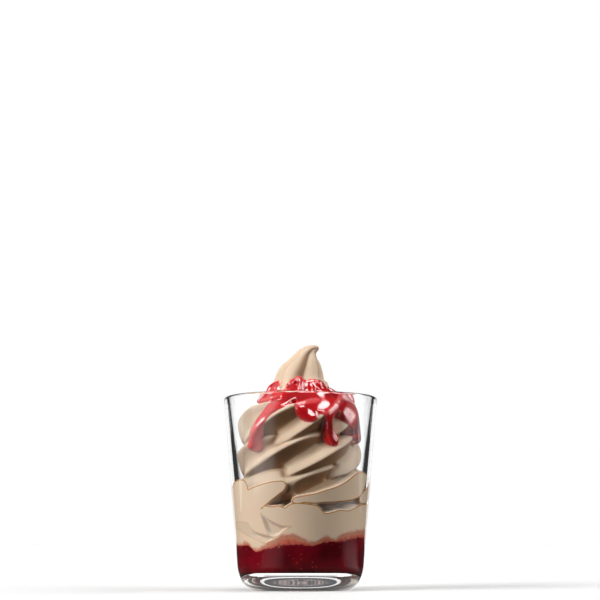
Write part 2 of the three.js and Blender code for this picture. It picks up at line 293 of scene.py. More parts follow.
def add_piece(name: str, points: Array, faces: list, finish: Material,
              attributes: dict[str, Array] | None = None) -> Piece:
    """Makes a smooth-shaded mesh piece.

    Args:
        name: the piece's name.
        points: its points in millimetres, one row each.
        faces: the point numbers of each face.
        finish: its material.
        attributes: values at the points that the material reads, by name.

    Returns:
        The new object.
    """
    mesh = bpy.data.meshes.new(name)
    mesh.from_pydata((points * MM).tolist(), [], faces)
    mesh.polygons.foreach_set("use_smooth", [True] * len(mesh.polygons))
    for title, values in (attributes or {}).items():
        layer = mesh.attributes.new(title, "FLOAT", "POINT")
        layer.data.foreach_set("value", np.asarray(values, dtype=np.float32).ravel())
    mesh.materials.append(finish)
    mesh.validate()
    mesh.update()
    piece = bpy.data.objects.new(name, mesh)
    bpy.context.collection.objects.link(piece)
    return piece


def stand_for(piece: Piece, node: Node) -> Piece:
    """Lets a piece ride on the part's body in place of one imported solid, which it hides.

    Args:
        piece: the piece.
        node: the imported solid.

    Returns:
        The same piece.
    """
    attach(piece, Body.ROOT.value)
    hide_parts(node.value)
    return piece


# ---------------------------------------------------------------- shader parts


def colour(red: int, green: int, blue: int) -> Colour:
    """Turns a screen colour, 0 to 255, into the linear colour that a shader takes."""
    parts = [c / 255.0 for c in (red, green, blue)]
    return (*[c / 12.92 if c <= 0.04045 else ((c + 0.055) / 1.055) ** 2.4 for c in parts], 1.0)


class Bench:
    """Adds nodes to one shader tree and joins them up."""

    def __init__(self, tree: bpy.types.NodeTree) -> None:
        """Takes the tree to work on."""
        self.tree = tree

    def feed(self, node: bpy.types.Node, inputs: dict) -> None:
        """Gives a node's inputs plain values, or joins them to output sockets.

        Args:
            node: the node.
            inputs: a value or an output socket for each input, by name or number.
        """
        for key, value in inputs.items():
            if isinstance(value, Socket):
                self.tree.links.new(value, node.inputs[key])
            else:
                node.inputs[key].default_value = value

    def add(self, kind: str, inputs: dict | None = None, **settings: object) -> bpy.types.Node:
        """Adds a node.

        Args:
            kind: the node's type name, without its ShaderNode prefix.
            inputs: a value or an output socket for each input, by name or number.
            settings: the node's own properties.

        Returns:
            The new node.
        """
        node = self.tree.nodes.new(kind if kind.startswith("NodeGroup") else "ShaderNode" + kind)
        for name, value in settings.items():
            setattr(node, name, value)
        self.feed(node, inputs or {})
        return node

    def value(self, name: str) -> Socket:
        """The values that a mesh holds at its points under a name."""
        return self.add("Attribute", attribute_name=name).outputs["Fac"]

    def ramp(self, source: Value, low: Value, high: Value) -> Socket:
        """A smooth share that goes from 0 at the low value to 1 at the high one."""
        node = self.add("MapRange", {0: source, 1: low, 2: high}, interpolation_type="SMOOTHSTEP")
        return node.outputs[0]

    def reach(self, source: Socket, span: Span) -> Socket:
        """A smooth share that goes from 0 to 1 over a span of millimetres."""
        return self.ramp(source, span[0] * MM, span[1] * MM)

    def join(self, how: str, first: Value, second: Value) -> Socket:
        """Joins two values with one operation of arithmetic."""
        return self.add("Math", {0: first, 1: second}, operation=how).outputs[0]

    def times(self, first: Value, second: Value) -> Socket:
        """The product of two values."""
        return self.join("MULTIPLY", first, second)

    def larger(self, first: Value, second: Value) -> Socket:
        """The larger of two values."""
        return self.join("MAXIMUM", first, second)

    def scaled(self, source: Value, factor: Value, offset: Value) -> Socket:
        """A value times a factor, with an offset added."""
        return self.add("Math", {0: source, 1: factor, 2: offset}, operation="MULTIPLY_ADD").outputs[0]

    def blend(self, share: Value, first: Value, second: Value) -> Socket:
        """Blends two colours by a share."""
        return self.add("Mix", {0: share, 6: first, 7: second}, data_type="RGBA").outputs[2]

    def grain(self, scale: Value, detail: float = 2.0) -> Socket:
        """A field of noise at the object's own coordinates, with the scale in 1/m."""
        place = self.add("TexCoord").outputs["Object"]
        return self.add("TexNoise", {"Vector": place, "Scale": scale, "Detail": detail}).outputs[0]

    def facing(self, way: Socket, azimuth: float) -> Socket:
        """How nearly a direction, seen from above, points at an azimuth, as a cosine.

        Args:
            way: the direction, or a place round the part.
            azimuth: the azimuth in degrees, 0 at the front.

        Returns:
            The cosine of the angle between them.
        """
        flat = self.add("VectorMath", {0: way, 1: (1.0, 1.0, 0.0)}, operation="MULTIPLY").outputs[0]
        level = self.add("VectorMath", {0: flat}, operation="NORMALIZE").outputs[0]
        angle = math.radians(azimuth)
        toward = (math.sin(angle), -math.cos(angle), 0.0)
        return self.add("VectorMath", {0: level, 1: toward}, operation="DOT_PRODUCT").outputs["Value"]


def new_material(name: str) -> tuple[Material, Bench, bpy.types.Node]:
    """Starts a material.

    Args:
        name: the material's name.

    Returns:
        The material, its bench and its Principled node.
    """
    material = bpy.data.materials.new(name)
    material.use_nodes = True
    return material, Bench(material.node_tree), material.node_tree.nodes["Principled BSDF"]


class GroupKit:
    """The shader groups that more than one finish uses, each built once."""

    fine_detail: float = 3.0
    wave_height: float = 2.0  # as a multiple of the pores' own height

    def __init__(self) -> None:
        """Builds the groups."""
        self.pores = self._pores()
        self.specks = self._specks()

    @staticmethod
    def _start(name: str, takes: dict[str, float], gives: tuple[str, ...]) -> Bench:
        """Starts a group with value sockets.

        Args:
            name: the group's name.
            takes: the default of each input, by name.
            gives: the names of its outputs.

        Returns:
            A bench for the group's tree.
        """
        tree = bpy.data.node_groups.new(name, "ShaderNodeTree")
        for title, default in takes.items():
            socket = tree.interface.new_socket(title, in_out="INPUT", socket_type="NodeSocketFloat")
            socket.default_value = default
        for title in gives:
            tree.interface.new_socket(title, in_out="OUTPUT", socket_type="NodeSocketFloat")
        return Bench(tree)

    def _pores(self) -> bpy.types.NodeTree:
        """Fine air pores and soft waves in whipped or bubbly food.

        Returns:
            The group, which gives a height and a tone.
        """
        bench = self._start("fine pores", {"Scale": 900.0, "Waves": 90.0}, ("Height", "Tone"))
        sizes = bench.add("NodeGroupInput").outputs
        broad = bench.grain(sizes["Waves"])
        height = bench.scaled(broad, self.wave_height, bench.grain(sizes["Scale"], self.fine_detail))
        bench.add("NodeGroupOutput", {"Height": height, "Tone": broad})
        return bench.tree

    def _specks(self) -> bpy.types.NodeTree:
        """Scattered round specks, such as seeds and small bubbles.

        Returns:
            The group, which gives a mask.
        """
        bench = self._start("scattered specks", {"Scale": 260.0, "Size": 0.2, "Share": 0.5}, ("Mask",))
        sizes = bench.add("NodeGroupInput").outputs
        place = bench.add("TexCoord").outputs["Object"]
        cells = bench.add("TexVoronoi", {"Vector": place, "Scale": sizes["Scale"]}).outputs
        draw = bench.add("SeparateColor", {0: cells["Color"]}).outputs[0]
        chosen = bench.join("LESS_THAN", draw, sizes["Share"])
        near = bench.ramp(cells["Distance"], sizes["Size"], 0.0)
        bench.add("NodeGroupOutput", {"Mask": bench.times(near, chosen)})
        return bench.tree


@dataclass(frozen=True)
class Skin:
    """The plain values of a food's surface, with the depths in millimetres."""

    roughness: float
    shine: float
    glow: float
    glow_reach: tuple[float, float, float]
    glow_depth: float
    bump: float
    bump_depth: float
    coat: float = 0.0
    coat_roughness: float = 0.03

    def put_on(self, bench: Bench, node: bpy.types.Node, tone: Socket,
               height: Socket) -> None:
        """Gives a Principled node its plain values, its colour and its bump.

        Args:
            bench: the material's bench.
            node: the Principled node.
            tone: the colour.
            height: the height of the fine relief.
        """
        bump = bench.add("Bump", {"Height": height, "Strength": self.bump, "Distance": self.bump_depth * MM})
        bench.feed(node, {"Base Color": tone, "Normal": bump.outputs[0], "Roughness": self.roughness,
                          "Specular IOR Level": self.shine, "Subsurface Weight": self.glow,
                          "Subsurface Radius": self.glow_reach, "Subsurface Scale": self.glow_depth * MM,
                          "Coat Weight": self.coat, "Coat Roughness": self.coat_roughness})


@dataclass(frozen=True)
class Seeds:
    """Seeds scattered in a sauce: their colour, their pattern and how strongly they show."""

    tone: Colour
    scale: float
    size: float
    share: float
    strength: float

    def sow(self, bench: Bench, groups: GroupKit, tone: Socket) -> Socket:
        """Scatters the seeds over a colour.

        Args:
            bench: the material's bench.
            groups: the shared shader groups.
            tone: the colour that they lie on.

        Returns:
            The colour with the seeds.
        """
        pattern = {"Scale": self.scale, "Size": self.size, "Share": self.share}
        mask = bench.add("Group", pattern, node_tree=groups.specks).outputs[0]
        return bench.blend(bench.times(mask, self.strength), tone, self.tone)


@dataclass(frozen=True)
class CreamFinish:
    """Coffee-coloured soft serve: satin, slightly translucent, with a dark line round what touches glass."""

    base: Colour = colour(226, 202, 177)
    shaded: Colour = colour(220, 195, 168)
    # painted light: cream that lies on the glass is made lighter, for the light that reaches it there
    pressed: Colour = colour(233, 209, 182)
    # painted shade: the darker, browner tone of cream that faces down or away from the key light, and of its
    # hollows
    painted_shade: Colour = colour(150, 110, 74)
    edge_line: Colour = colour(188, 122, 42)
    stained: Colour = colour(208, 124, 104)
    uneven: Span = (0.3, 0.7)
    shade_share: float = 0.92
    on_glass: Span = (0.15, -0.15)
    line_width: Span = (0.38, 0.1)
    stain_grain: float = 420.0
    stain_ragged: float = -3.0
    stain_span: Span = (0.9, -2.0)
    skin: Skin = Skin(roughness=0.42, shine=0.1, glow=0.4, glow_reach=(1.0, 0.55, 0.3), glow_depth=0.9,
                      bump=0.2, bump_depth=0.25)

    def make(self, groups: GroupKit) -> Material:
        """Builds the material.

        Args:
            groups: the shared shader groups.

        Returns:
            The material, which reads the mesh's edge, shade, line and tide values.
        """
        material, bench, node = new_material("coffee soft serve")
        edge = bench.value("edge")
        pores = bench.add("Group", node_tree=groups.pores).outputs
        tone = bench.blend(bench.ramp(pores["Tone"], *self.uneven), self.shaded, self.base)
        # painted shade: the colour darkens by the mesh's shade value, not by light
        tone = bench.blend(bench.times(bench.value("shade"), self.shade_share), tone, self.painted_shade)
        # painted light: a lighter tone where the cream lies on the glass
        tone = bench.blend(bench.ramp(edge, *self.on_glass), tone, self.pressed)
        off_line = bench.join("ABSOLUTE", edge, 0.0)
        line = bench.times(bench.ramp(off_line, *self.line_width), bench.value("line"))
        tone = bench.blend(line, tone, self.edge_line)
        ragged = bench.scaled(bench.grain(self.stain_grain), self.stain_ragged, bench.value("tide"))
        tone = bench.blend(bench.ramp(ragged, *self.stain_span), tone, self.stained)
        self.skin.put_on(bench, node, tone, pores["Height"])
        return material


@dataclass(frozen=True)
class BottomSauceFinish:
    """Dark fruit sauce seen through glass, lighter and bubbly where the cream lies on it."""

    deep: Colour = colour(84, 0, 12)
    bright: Colour = colour(118, 3, 22)
    frothy: Colour = colour(204, 100, 84)
    blended: Colour = colour(206, 142, 112)
    cloud_grain: Span = (70.0, 3.0)
    clouds: Span = (0.35, 0.65)
    froth_grain: Span = (560.0, 4.0)
    froth_ragged: float = 1.1
    froth_span: Span = (0.5, 0.85)
    blend_span: Span = (0.8, 1.5)
    pore_grain: float = 700.0
    wave_grain: float = 160.0
    seeds: Seeds = Seeds(colour(230, 70, 50), scale=520.0, size=0.3, share=0.24, strength=0.7)
    skin: Skin = Skin(roughness=0.5, shine=0.02, glow=0.5, glow_reach=(1.0, 0.12, 0.08), glow_depth=2.0,
                      bump=0.1, bump_depth=0.2)

    def make(self, groups: GroupKit) -> Material:
        """Builds the material.

        Args:
            groups: the shared shader groups.

        Returns:
            The material, which reads the mesh's froth values.
        """
        material, bench, node = new_material("fruit sauce below")
        clouds = bench.ramp(bench.grain(*self.cloud_grain), *self.clouds)
        tone = bench.blend(clouds, self.deep, self.bright)
        froth = bench.scaled(bench.grain(*self.froth_grain), self.froth_ragged, bench.value("froth"))
        tone = bench.blend(bench.ramp(froth, *self.froth_span), tone, self.frothy)
        tone = bench.blend(bench.ramp(froth, *self.blend_span), tone, self.blended)
        tone = self.seeds.sow(bench, groups, tone)
        sizes = {"Scale": self.pore_grain, "Waves": self.wave_grain}
        pores = bench.add("Group", sizes, node_tree=groups.pores)
        self.skin.put_on(bench, node, tone, pores.outputs["Height"])
        return material


@dataclass(frozen=True)
class ToppingFinish:
    """Glossy strawberry-red sauce, paler where thin and, as painted light, where the key light shines
    through; darker where thick.
    """

    thin: Colour = colour(238, 92, 94)
    body: Colour = colour(204, 12, 24)
    thick: Colour = colour(150, 0, 12)
    thin_until: Span = (0.1, 2.0)
    thick_from: Span = (2.6, 7.0)
    ripple_grain: float = 240.0
    seeds: Seeds = Seeds(colour(226, 70, 30), scale=420.0, size=0.2, share=0.1, strength=0.6)
    skin: Skin = Skin(roughness=0.06, shine=0.6, glow=0.7, glow_reach=(1.0, 0.1, 0.08), glow_depth=0.9,
                      bump=0.15, bump_depth=0.3, coat=0.8)

    def make(self, groups: GroupKit) -> Material:
        """Builds the material.

        Args:
            groups: the shared shader groups.

        Returns:
            The material, which reads the mesh's thickness values, cut where painted light falls.
        """
        material, bench, node = new_material("fruit sauce above")
        depth = bench.value("thickness")
        # the thickness value also carries painted light: it is cut on the side the key light shines through
        tone = bench.blend(bench.ramp(depth, *self.thin_until), self.thin, self.body)
        tone = bench.blend(bench.ramp(depth, *self.thick_from), tone, self.thick)
        tone = self.seeds.sow(bench, groups, tone)
        self.skin.put_on(bench, node, tone, bench.grain(self.ripple_grain))
        return material


@dataclass(frozen=True)
class GlassFinish:
    """Clear soda glass, with a clear stand-in for the rays that light what it holds."""

    tint: Colour = (0.985, 0.99, 0.99, 1.0)
    stand_in: Colour = (0.96, 0.96, 0.96, 1.0)
    bend: float = 1.5

    def make(self) -> Material:
        """Builds the material.

        Returns:
            The material, whose stand-in meets shadow, diffuse and rough glossy rays.
        """
        material, bench, node = new_material("clear glass")
        bench.feed(node, {"Base Color": self.tint, "Roughness": 0.0, "IOR": self.bend,
                          "Transmission Weight": 1.0})
        glass = node.outputs[0]
        clear = bench.add("BsdfTransparent", {0: self.stand_in}).outputs[0]
        path = bench.add("LightPath").outputs
        shown = glass
        for ray, instead in (("Is Glossy Ray", clear), ("Is Singular Ray", glass),
                             ("Is Diffuse Ray", clear), ("Is Shadow Ray", clear)):
            shown = bench.add("MixShader", {0: path[ray], 1: shown, 2: instead}).outputs[0]
        bench.feed(bench.tree.nodes["Material Output"], {"Surface": shown})
        return material


@dataclass(frozen=True)
class DarkFlags:
    """Dark screens that stand round a lit backdrop, in pairs beside each quarter of the compass."""

    start: float = 30.0
    end: float = 60.0
    soft: float = 1.5

    def mask(self, bench: Bench, way: Socket) -> Socket:
        """The share of light that passes between the screens along each direction.

        Args:
            bench: the bench of the tree that asks.
            way: the direction looked along, or a place round the part.

        Returns:
            1 between the screens and 0 on them.
        """
        level = bench.add("SeparateXYZ", {0: way}).outputs
        turn = bench.join("ARCTAN2", level["X"], level["Y"])
        quarter = bench.join("PINGPONG", turn, math.pi / 4)
        start, end, soft = (math.radians(angle) for angle in (self.start, self.end, self.soft))
        before = bench.ramp(quarter, start + soft, start - soft)
        return bench.larger(before, bench.ramp(quarter, end - soft, end + soft))


@dataclass(frozen=True)
class FloorCard:
    """A soft-edged white card that lies on the table and shows in the glass as a pale band."""

    azimuth: float
    half_width: float
    near: float
    far: float
    soft: float
    strength: float

    def mask(self, bench: Bench, place: Socket,
             away: Socket) -> Socket:
        """The card's light at a place on the table.

        Args:
            bench: the bench of the tree that asks.
            place: the place on the table.
            away: its distance from the part.

        Returns:
            The light, 0 off the card.
        """
        across = bench.ramp(bench.facing(place, self.azimuth), math.cos(math.radians(self.half_width)), 1.0)
        rise = bench.reach(away, (self.near, self.near * (1 + self.soft)))
        fall = bench.reach(away, (self.far, self.far * (1 - self.soft)))
        return bench.times(bench.times(across, bench.times(rise, fall)), self.strength)


@dataclass(frozen=True)
class TableFinish:
    """A plain pale table top in a dark studio: away from the part it throws back little light."""

    tone: Colour = (0.85, 0.85, 0.85, 1.0)
    roughness: float = 0.6
    shine: float = 0.1
    lift: float = 0.05
    glow: float = 1.2
    near: Colour = (0.1, 0.09, 0.08, 1.0)
    far: Colour = (0.03, 0.03, 0.03, 1.0)
    pool: Span = (70.0, 150.0)
    lit_from: Span = (10.0, 24.0)
    flags_from: Span = (280.0, 320.0)
    flags_to: Span = (600.0, 660.0)
    seen_from: Span = (-200.0, -100.0)
    heel_light: Span = (50.0, 40.0)
    glass_faces: float = 2.5
    flags: DarkFlags = DarkFlags(15.0, 60.0, 9.0)
    cards: tuple[FloorCard, ...] = (FloorCard(-60.0, 26.0, 400.0, 1400.0, 0.5, 2.0),
                                    FloorCard(-46.0, 24.0, 60.0, 300.0, 0.5, 0.32),
                                    FloorCard(94.0, 26.0, 60.0, 380.0, 0.6, 0.45))

    def make(self) -> Material:
        """Builds the material.

        Returns:
            The material, which glows a little so that it stays pale at a low angle.
        """
        material, bench, seen = new_material("pale table")
        bench.feed(seen, {"Base Color": self.tone, "Roughness": self.roughness, "Emission Color": WHITE,
                          "Specular IOR Level": self.shine, "Emission Strength": self.lift})
        place = bench.add("TexCoord").outputs["Object"]
        away = bench.add("VectorMath", {0: place}, operation="LENGTH").outputs["Value"]
        side = bench.add("SeparateXYZ", {0: place}).outputs["Y"]
        path = bench.add("LightPath").outputs
        screens = DarkFlags().mask(bench, place)
        nearer = bench.reach(away, self.flags_from[::-1])
        beyond = bench.times(bench.reach(away, self.flags_to), screens)
        front = bench.times(bench.reach(side, (0.0, self.seen_from[1])), screens)
        open_way = bench.larger(self.flags.mask(bench, place), bench.larger(nearer, beyond))
        lit = bench.times(bench.reach(away, self.lit_from), bench.larger(open_way, front))
        through = bench.join("GREATER_THAN", path["Transmission Depth"], self.glass_faces)
        behind = bench.larger(bench.reach(side, self.seen_from), through)
        behind = bench.times(behind, path["Is Transmission Ray"])
        back = bench.larger(bench.reach(side, self.flags_from), bench.reach(away, self.heel_light))
        back = bench.times(back, path["Is Glossy Ray"])
        lit = bench.times(bench.times(lit, bench.larger(behind, back)), self.glow)
        for card in self.cards:
            lit = bench.join("ADD", lit, bench.times(card.mask(bench, place, away), path["Is Glossy Ray"]))
        glow = bench.add("Emission", {"Strength": lit}).outputs[0]
        plain = bench.blend(bench.reach(away, self.pool), self.near, self.far)
        around = bench.add("BsdfDiffuse", {"Color": plain}).outputs[0]
        unseen = bench.add("AddShader", {0: around, 1: glow}).outputs[0]
        shown = bench.add("MixShader", {0: path["Is Camera Ray"], 1: unseen, 2: seen.outputs[0]}).outputs[0]
        bench.feed(bench.tree.nodes["Material Output"], {"Surface": shown})
        return material


# ---------------------------------------------------------------- the glass


@dataclass(frozen=True)
class Tumbler:
    """A straight-sided tumbler that widens to its rim, with a thick base and a shallow punt."""

    height: float = 106.5
    rim_radius: float = 43.1
    rim_wall: float = 3.0
    lip_drop: float = 1.5
    outer_draft: float = 0.0885
    inner_draft: float = 0.129
    heel_height: float = 13.5
    heel_pull: Span = (33.6, 3.6)
    foot_radius: float = 27.6
    punt_radius: float = 20.5
    punt_depth: float = 1.5
    punt_flat: float = 0.6
    floor_height: float = 9.1
    floor_corner: float = 5.0
    sides: int = 256
    punt_steps: int = 18
    heel_steps: int = 22
    wall_points: int = 24
    lip_points: int = 15
    inside_points: int = 30
    floor_ring: float = 12.0
    corner_ease: Span = (1.6, 0.3)

    def outer_wall(self, height: Array) -> Array:
        """The radius of the wall's outside at a height."""
        return self.rim_radius - self.outer_draft * (self.height - self.lip_drop - height)

    def inner_wall(self, height: Array) -> Array:
        """The radius of the wall's inside at a height."""
        return (self.rim_radius - self.rim_wall
                - self.inner_draft * (self.height - self.lip_drop - height))

    def floor_line(self, steps: int = 12, inset: float = 0.0, lift: float = 0.0) -> Array:
        """The inside from the middle of the floor round its corner to where the wall starts.

        Args:
            steps: how many stretches the corner has.
            inset: how far the line lies inside the wall, for what fills the glass.
            lift: how far it lies above the floor.

        Returns:
            (radius, height) points.
        """
        turn = np.linspace(0.0, math.pi / 2 - math.atan(self.inner_draft), steps + 1)
        top = self.floor_height + self.floor_corner
        middle = self.inner_wall(top) - self.floor_corner
        ease = turn / turn[-1] * self.corner_ease[0] - self.corner_ease[1]
        reach = self.floor_corner - lift + (inset + lift) * soft_steps(ease)
        radius = middle + reach * np.sin(turn)
        height = top - reach * np.cos(turn)
        radius[-1] = self.inner_wall(height[-1]) + inset
        return np.column_stack([radius, height])

    @staticmethod
    def _bow(start: Span, pull: Span, end: Span, steps: int) -> Array:
        """A curve between two (radius, height) points that one other point pulls."""
        u = np.linspace(0.0, 1.0, steps + 1)[:, None]
        return (1 - u) ** 2 * np.array(start) + 2 * u * (1 - u) * np.array(pull) + u * u * np.array(end)

    def profile(self) -> Array:
        """Draws the glass's section.

        Returns:
            (radius, height) points from the axis below, over the rim, to the axis inside.
        """
        punt = self._bow((0.0, self.punt_depth), (self.punt_flat * self.punt_radius, self.punt_depth),
                         (self.punt_radius, 0.0), self.punt_steps)
        heel = self._bow((self.foot_radius, 0.0), self.heel_pull,
                         (self.outer_wall(self.heel_height), self.heel_height), self.heel_steps)
        lip_start = self.height - self.lip_drop
        rising = np.linspace(self.heel_height, lip_start, self.wall_points)[1:]
        turn = np.linspace(0.0, math.pi, self.lip_points)[1:-1]
        corner = self.floor_line()
        falling = np.linspace(lip_start, corner[-1, 1], self.inside_points)[:-1]
        return np.vstack([
            punt, heel, np.column_stack([self.outer_wall(rising), rising]),
            np.column_stack([self.rim_radius - self.lip_drop + self.lip_drop * np.cos(turn),
                             lip_start + self.lip_drop * np.sin(turn)]),
            np.column_stack([self.inner_wall(falling), falling]), corner[::-1],
            [(self.floor_ring, self.floor_height), (0.0, self.floor_height)]])

    def build(self) -> Piece:
        """Makes the glass as one closed mesh.

        Returns:
            The piece.
        """
        profile = self.profile()
        angles = np.radians(np.arange(self.sides) * 360.0 / self.sides)
        rings = ring_points(profile[1:-1, :1], profile[1:-1, 1:], angles)
        points, faces = closed_rings(rings, (0.0, 0.0, profile[0, 1]), (0.0, 0.0, profile[-1, 1]))
        piece = add_piece("tumbler", points, faces, GlassFinish().make())
        return stand_for(piece, Node.GLASS)


# ---------------------------------------------------------------- the soft serve


@dataclass(frozen=True)
class PipedRope:
    """The star-shaped rope that the nozzle lays in a coil, tier on tier."""

    pitch: float = 17.6
    tier_height: float = 71.9
    reach: Table = (
        (-2.6, 32.4), (-1.9, 33.0), (-1.4, 33.4), (-1.0, 34.4), (-0.75, 35.2), (-0.25, 35.9), (0.25, 34.2),
        (0.75, 35.4), (1.25, 31.6), (1.75, 20.4), (2.0, 16.5))
    thickness: Table = ((-1.9, 12.5), (0.25, 12.0), (0.75, 13.0), (1.25, 12.0), (1.75, 9.4), (2.0, 7.0))
    tilt: Table = ((-1.9, 2.2), (0.75, 2.2), (1.25, -1.6), (2.0, 0.0))
    first_turn: float = -2.6
    last_turn: float = 2.0
    tallness: float = 1.1
    star_points: float = 4.5
    squareness: float = 0.6
    flute_depth: Table = (
        (-1.5, 0.3), (-1.25, 0.08), (-1.06, 0.12), (-0.98, 0.46), (-0.5, 0.46), (-0.26, 0.28),
        (-0.17, 0.34), (-0.1, 0.46), (0.5, 0.46), (0.74, 0.2), (0.84, 0.26), (0.93, 0.46), (2.0, 0.46))
    flute_rise: float = 0.25
    crest_round: float = 0.14
    crease_depth: float = 1.6
    crease_width: float = 2.0
    crest_turns: tuple[float, ...] = (
        -2.67, -2.52, -2.37, -2.22, -2.07, -1.92, -1.77, -1.62, -1.48, -1.34, -1.205, -1.065, -0.87, -0.76,
        -0.651, -0.513, -0.374, -0.236, -0.081, 0.066, 0.231, 0.361, 0.49, 0.62, 0.75, 0.889, 1.035, 1.18,
        1.32, 1.47, 1.62, 1.77, 1.92, 2.07)
    cut_reach: float = 112.0
    cut_points: int = 90

    def crests_passed(self, turn: Array) -> Array:
        """How many crests have crossed the outside of the coil by a turn."""
        return np.interp(turn, self.crest_turns, np.arange(len(self.crest_turns)))

    def section(self, turn: float, angles: Array) -> tuple[Array, Array]:
        """The rope's outline where it is cut by a plane through the axis.

        Args:
            turn: where on the coil.
            angles: angles round the rope's own middle, 0 outwards, in radians.

        Returns:
            The outline's distance from the axis and its height.
        """
        thickness = eased(self.thickness, turn)
        middle = eased(self.reach, turn) - thickness
        height = self.tier_height + self.pitch * turn - eased(self.tilt, turn) * math.sin(math.tau * turn)
        local = angles * self.star_points / 2 - math.pi * self.crests_passed(turn)
        groove = rounded_wave(np.sin(local), self.crest_round)
        across = np.sign(np.cos(angles)) * np.abs(np.cos(angles)) ** self.squareness
        groove *= eased(self.flute_depth, turn)
        across *= thickness * (1 - groove)
        rise = self.tallness * thickness * (1 - self.flute_rise * groove)
        return middle + across, height + rise * np.sin(angles)

    def outline(self, bearings: Array, heights: Array) -> Array:
        """How far out the coil reaches, at each height and bearing.

        Args:
            bearings: the bearings, in rising order.
            heights: the heights, in rising order.

        Returns:
            The radius, one row for each height; 0 where there is no rope.
        """
        found = np.zeros((len(heights), len(bearings)))
        second = np.zeros_like(found)
        angles = np.radians(np.linspace(-self.cut_reach, self.cut_reach, self.cut_points))
        laps = range(math.floor(self.first_turn), math.ceil(self.last_turn) + 1)
        for column, bearing in enumerate(bearings):
            for lap in laps:
                turn = bearing / 360.0 + lap
                if not self.first_turn <= turn <= self.last_turn:
                    continue
                single = np.zeros(len(heights))
                radius, height = self.section(turn, angles)
                start = np.searchsorted(heights, np.minimum(height[:-1], height[1:]))
                end = np.searchsorted(heights, np.maximum(height[:-1], height[1:]))
                for side in range(len(angles) - 1):
                    rows = slice(start[side], end[side])
                    if start[side] == end[side]:
                        continue
                    share = (heights[rows] - height[side]) / (height[side + 1] - height[side])
                    reach = radius[side] + share * (radius[side + 1] - radius[side])
                    single[rows] = np.maximum(single[rows], reach)
                second[:, column] = np.maximum(second[:, column], np.minimum(found[:, column], single))
                found[:, column] = np.maximum(found[:, column], single)
        close = np.clip(1.0 - (found - second) / self.crease_width, 0.0, 1.0)
        return found - self.crease_depth * close**2


@dataclass(frozen=True)
class SwirlPeak:
    """The last of the rope, drawn up into a peak whose tip falls over to the right."""

    spine: Table = (
        (0.0, 106.0, 16.8), (0.0, 110.0, 16.8), (0.2, 116.7, 14.7), (2.1, 123.4, 11.1), (4.1, 129.7, 6.9),
        (6.2, 132.9, 3.9), (8.3, 134.2, 2.2), (10.0, 134.7, 1.2))
    crests: tuple[float, ...] = (-94.0, -27.0, 42.0, 92.0, 152.0, 212.0)
    flute_depth: float = 0.23
    valley_round: float = 0.16
    upright: Span = (112.0, 121.0)
    spine_steps: int = 24
    flute_fade: float = 5.0

    def stations(self, spacing: float) -> Array:
        """The spine cut at even distances.

        Args:
            spacing: the distance between stations.

        Returns:
            One row of x, z, radius, lean across and lean up for each.
        """
        curve = curve_through(self.spine, steps=self.spine_steps)
        gone = np.concatenate([[0.0], np.cumsum(np.hypot(*np.diff(curve[:, :2], axis=0).T))])
        at = np.linspace(0.0, gone[-1], int(gone[-1] / spacing) + 1)
        x, z, radius = (np.interp(at, gone, curve[:, k]) for k in range(3))
        run, rise = np.gradient(x), np.gradient(z)
        lean = soft_steps((z - self.upright[0]) / (self.upright[1] - self.upright[0]))
        run = run * lean
        length = np.hypot(run, rise)
        return np.column_stack([x, z, radius, run / length, rise / length])

    def outline(self, bearings: Array, radius: Array) -> Array:
        """Draws the peak's fluted outline.

        Args:
            bearings: the bearings, in rising order.
            radius: the plain radius at each row.

        Returns:
            The radius, one row for each plain radius.
        """
        marks = np.array(self.crests)
        marks = np.concatenate([marks - 360.0, marks, marks + 360.0])
        phase = np.interp(bearings, marks, np.arange(len(marks))) * math.pi
        groove = 1.0 - rounded_wave(np.cos(phase), self.valley_round)
        fade = np.minimum(1, radius / self.flute_fade)
        return radius[:, None] * (1 - self.flute_depth * groove[None, :] * fade[:, None])


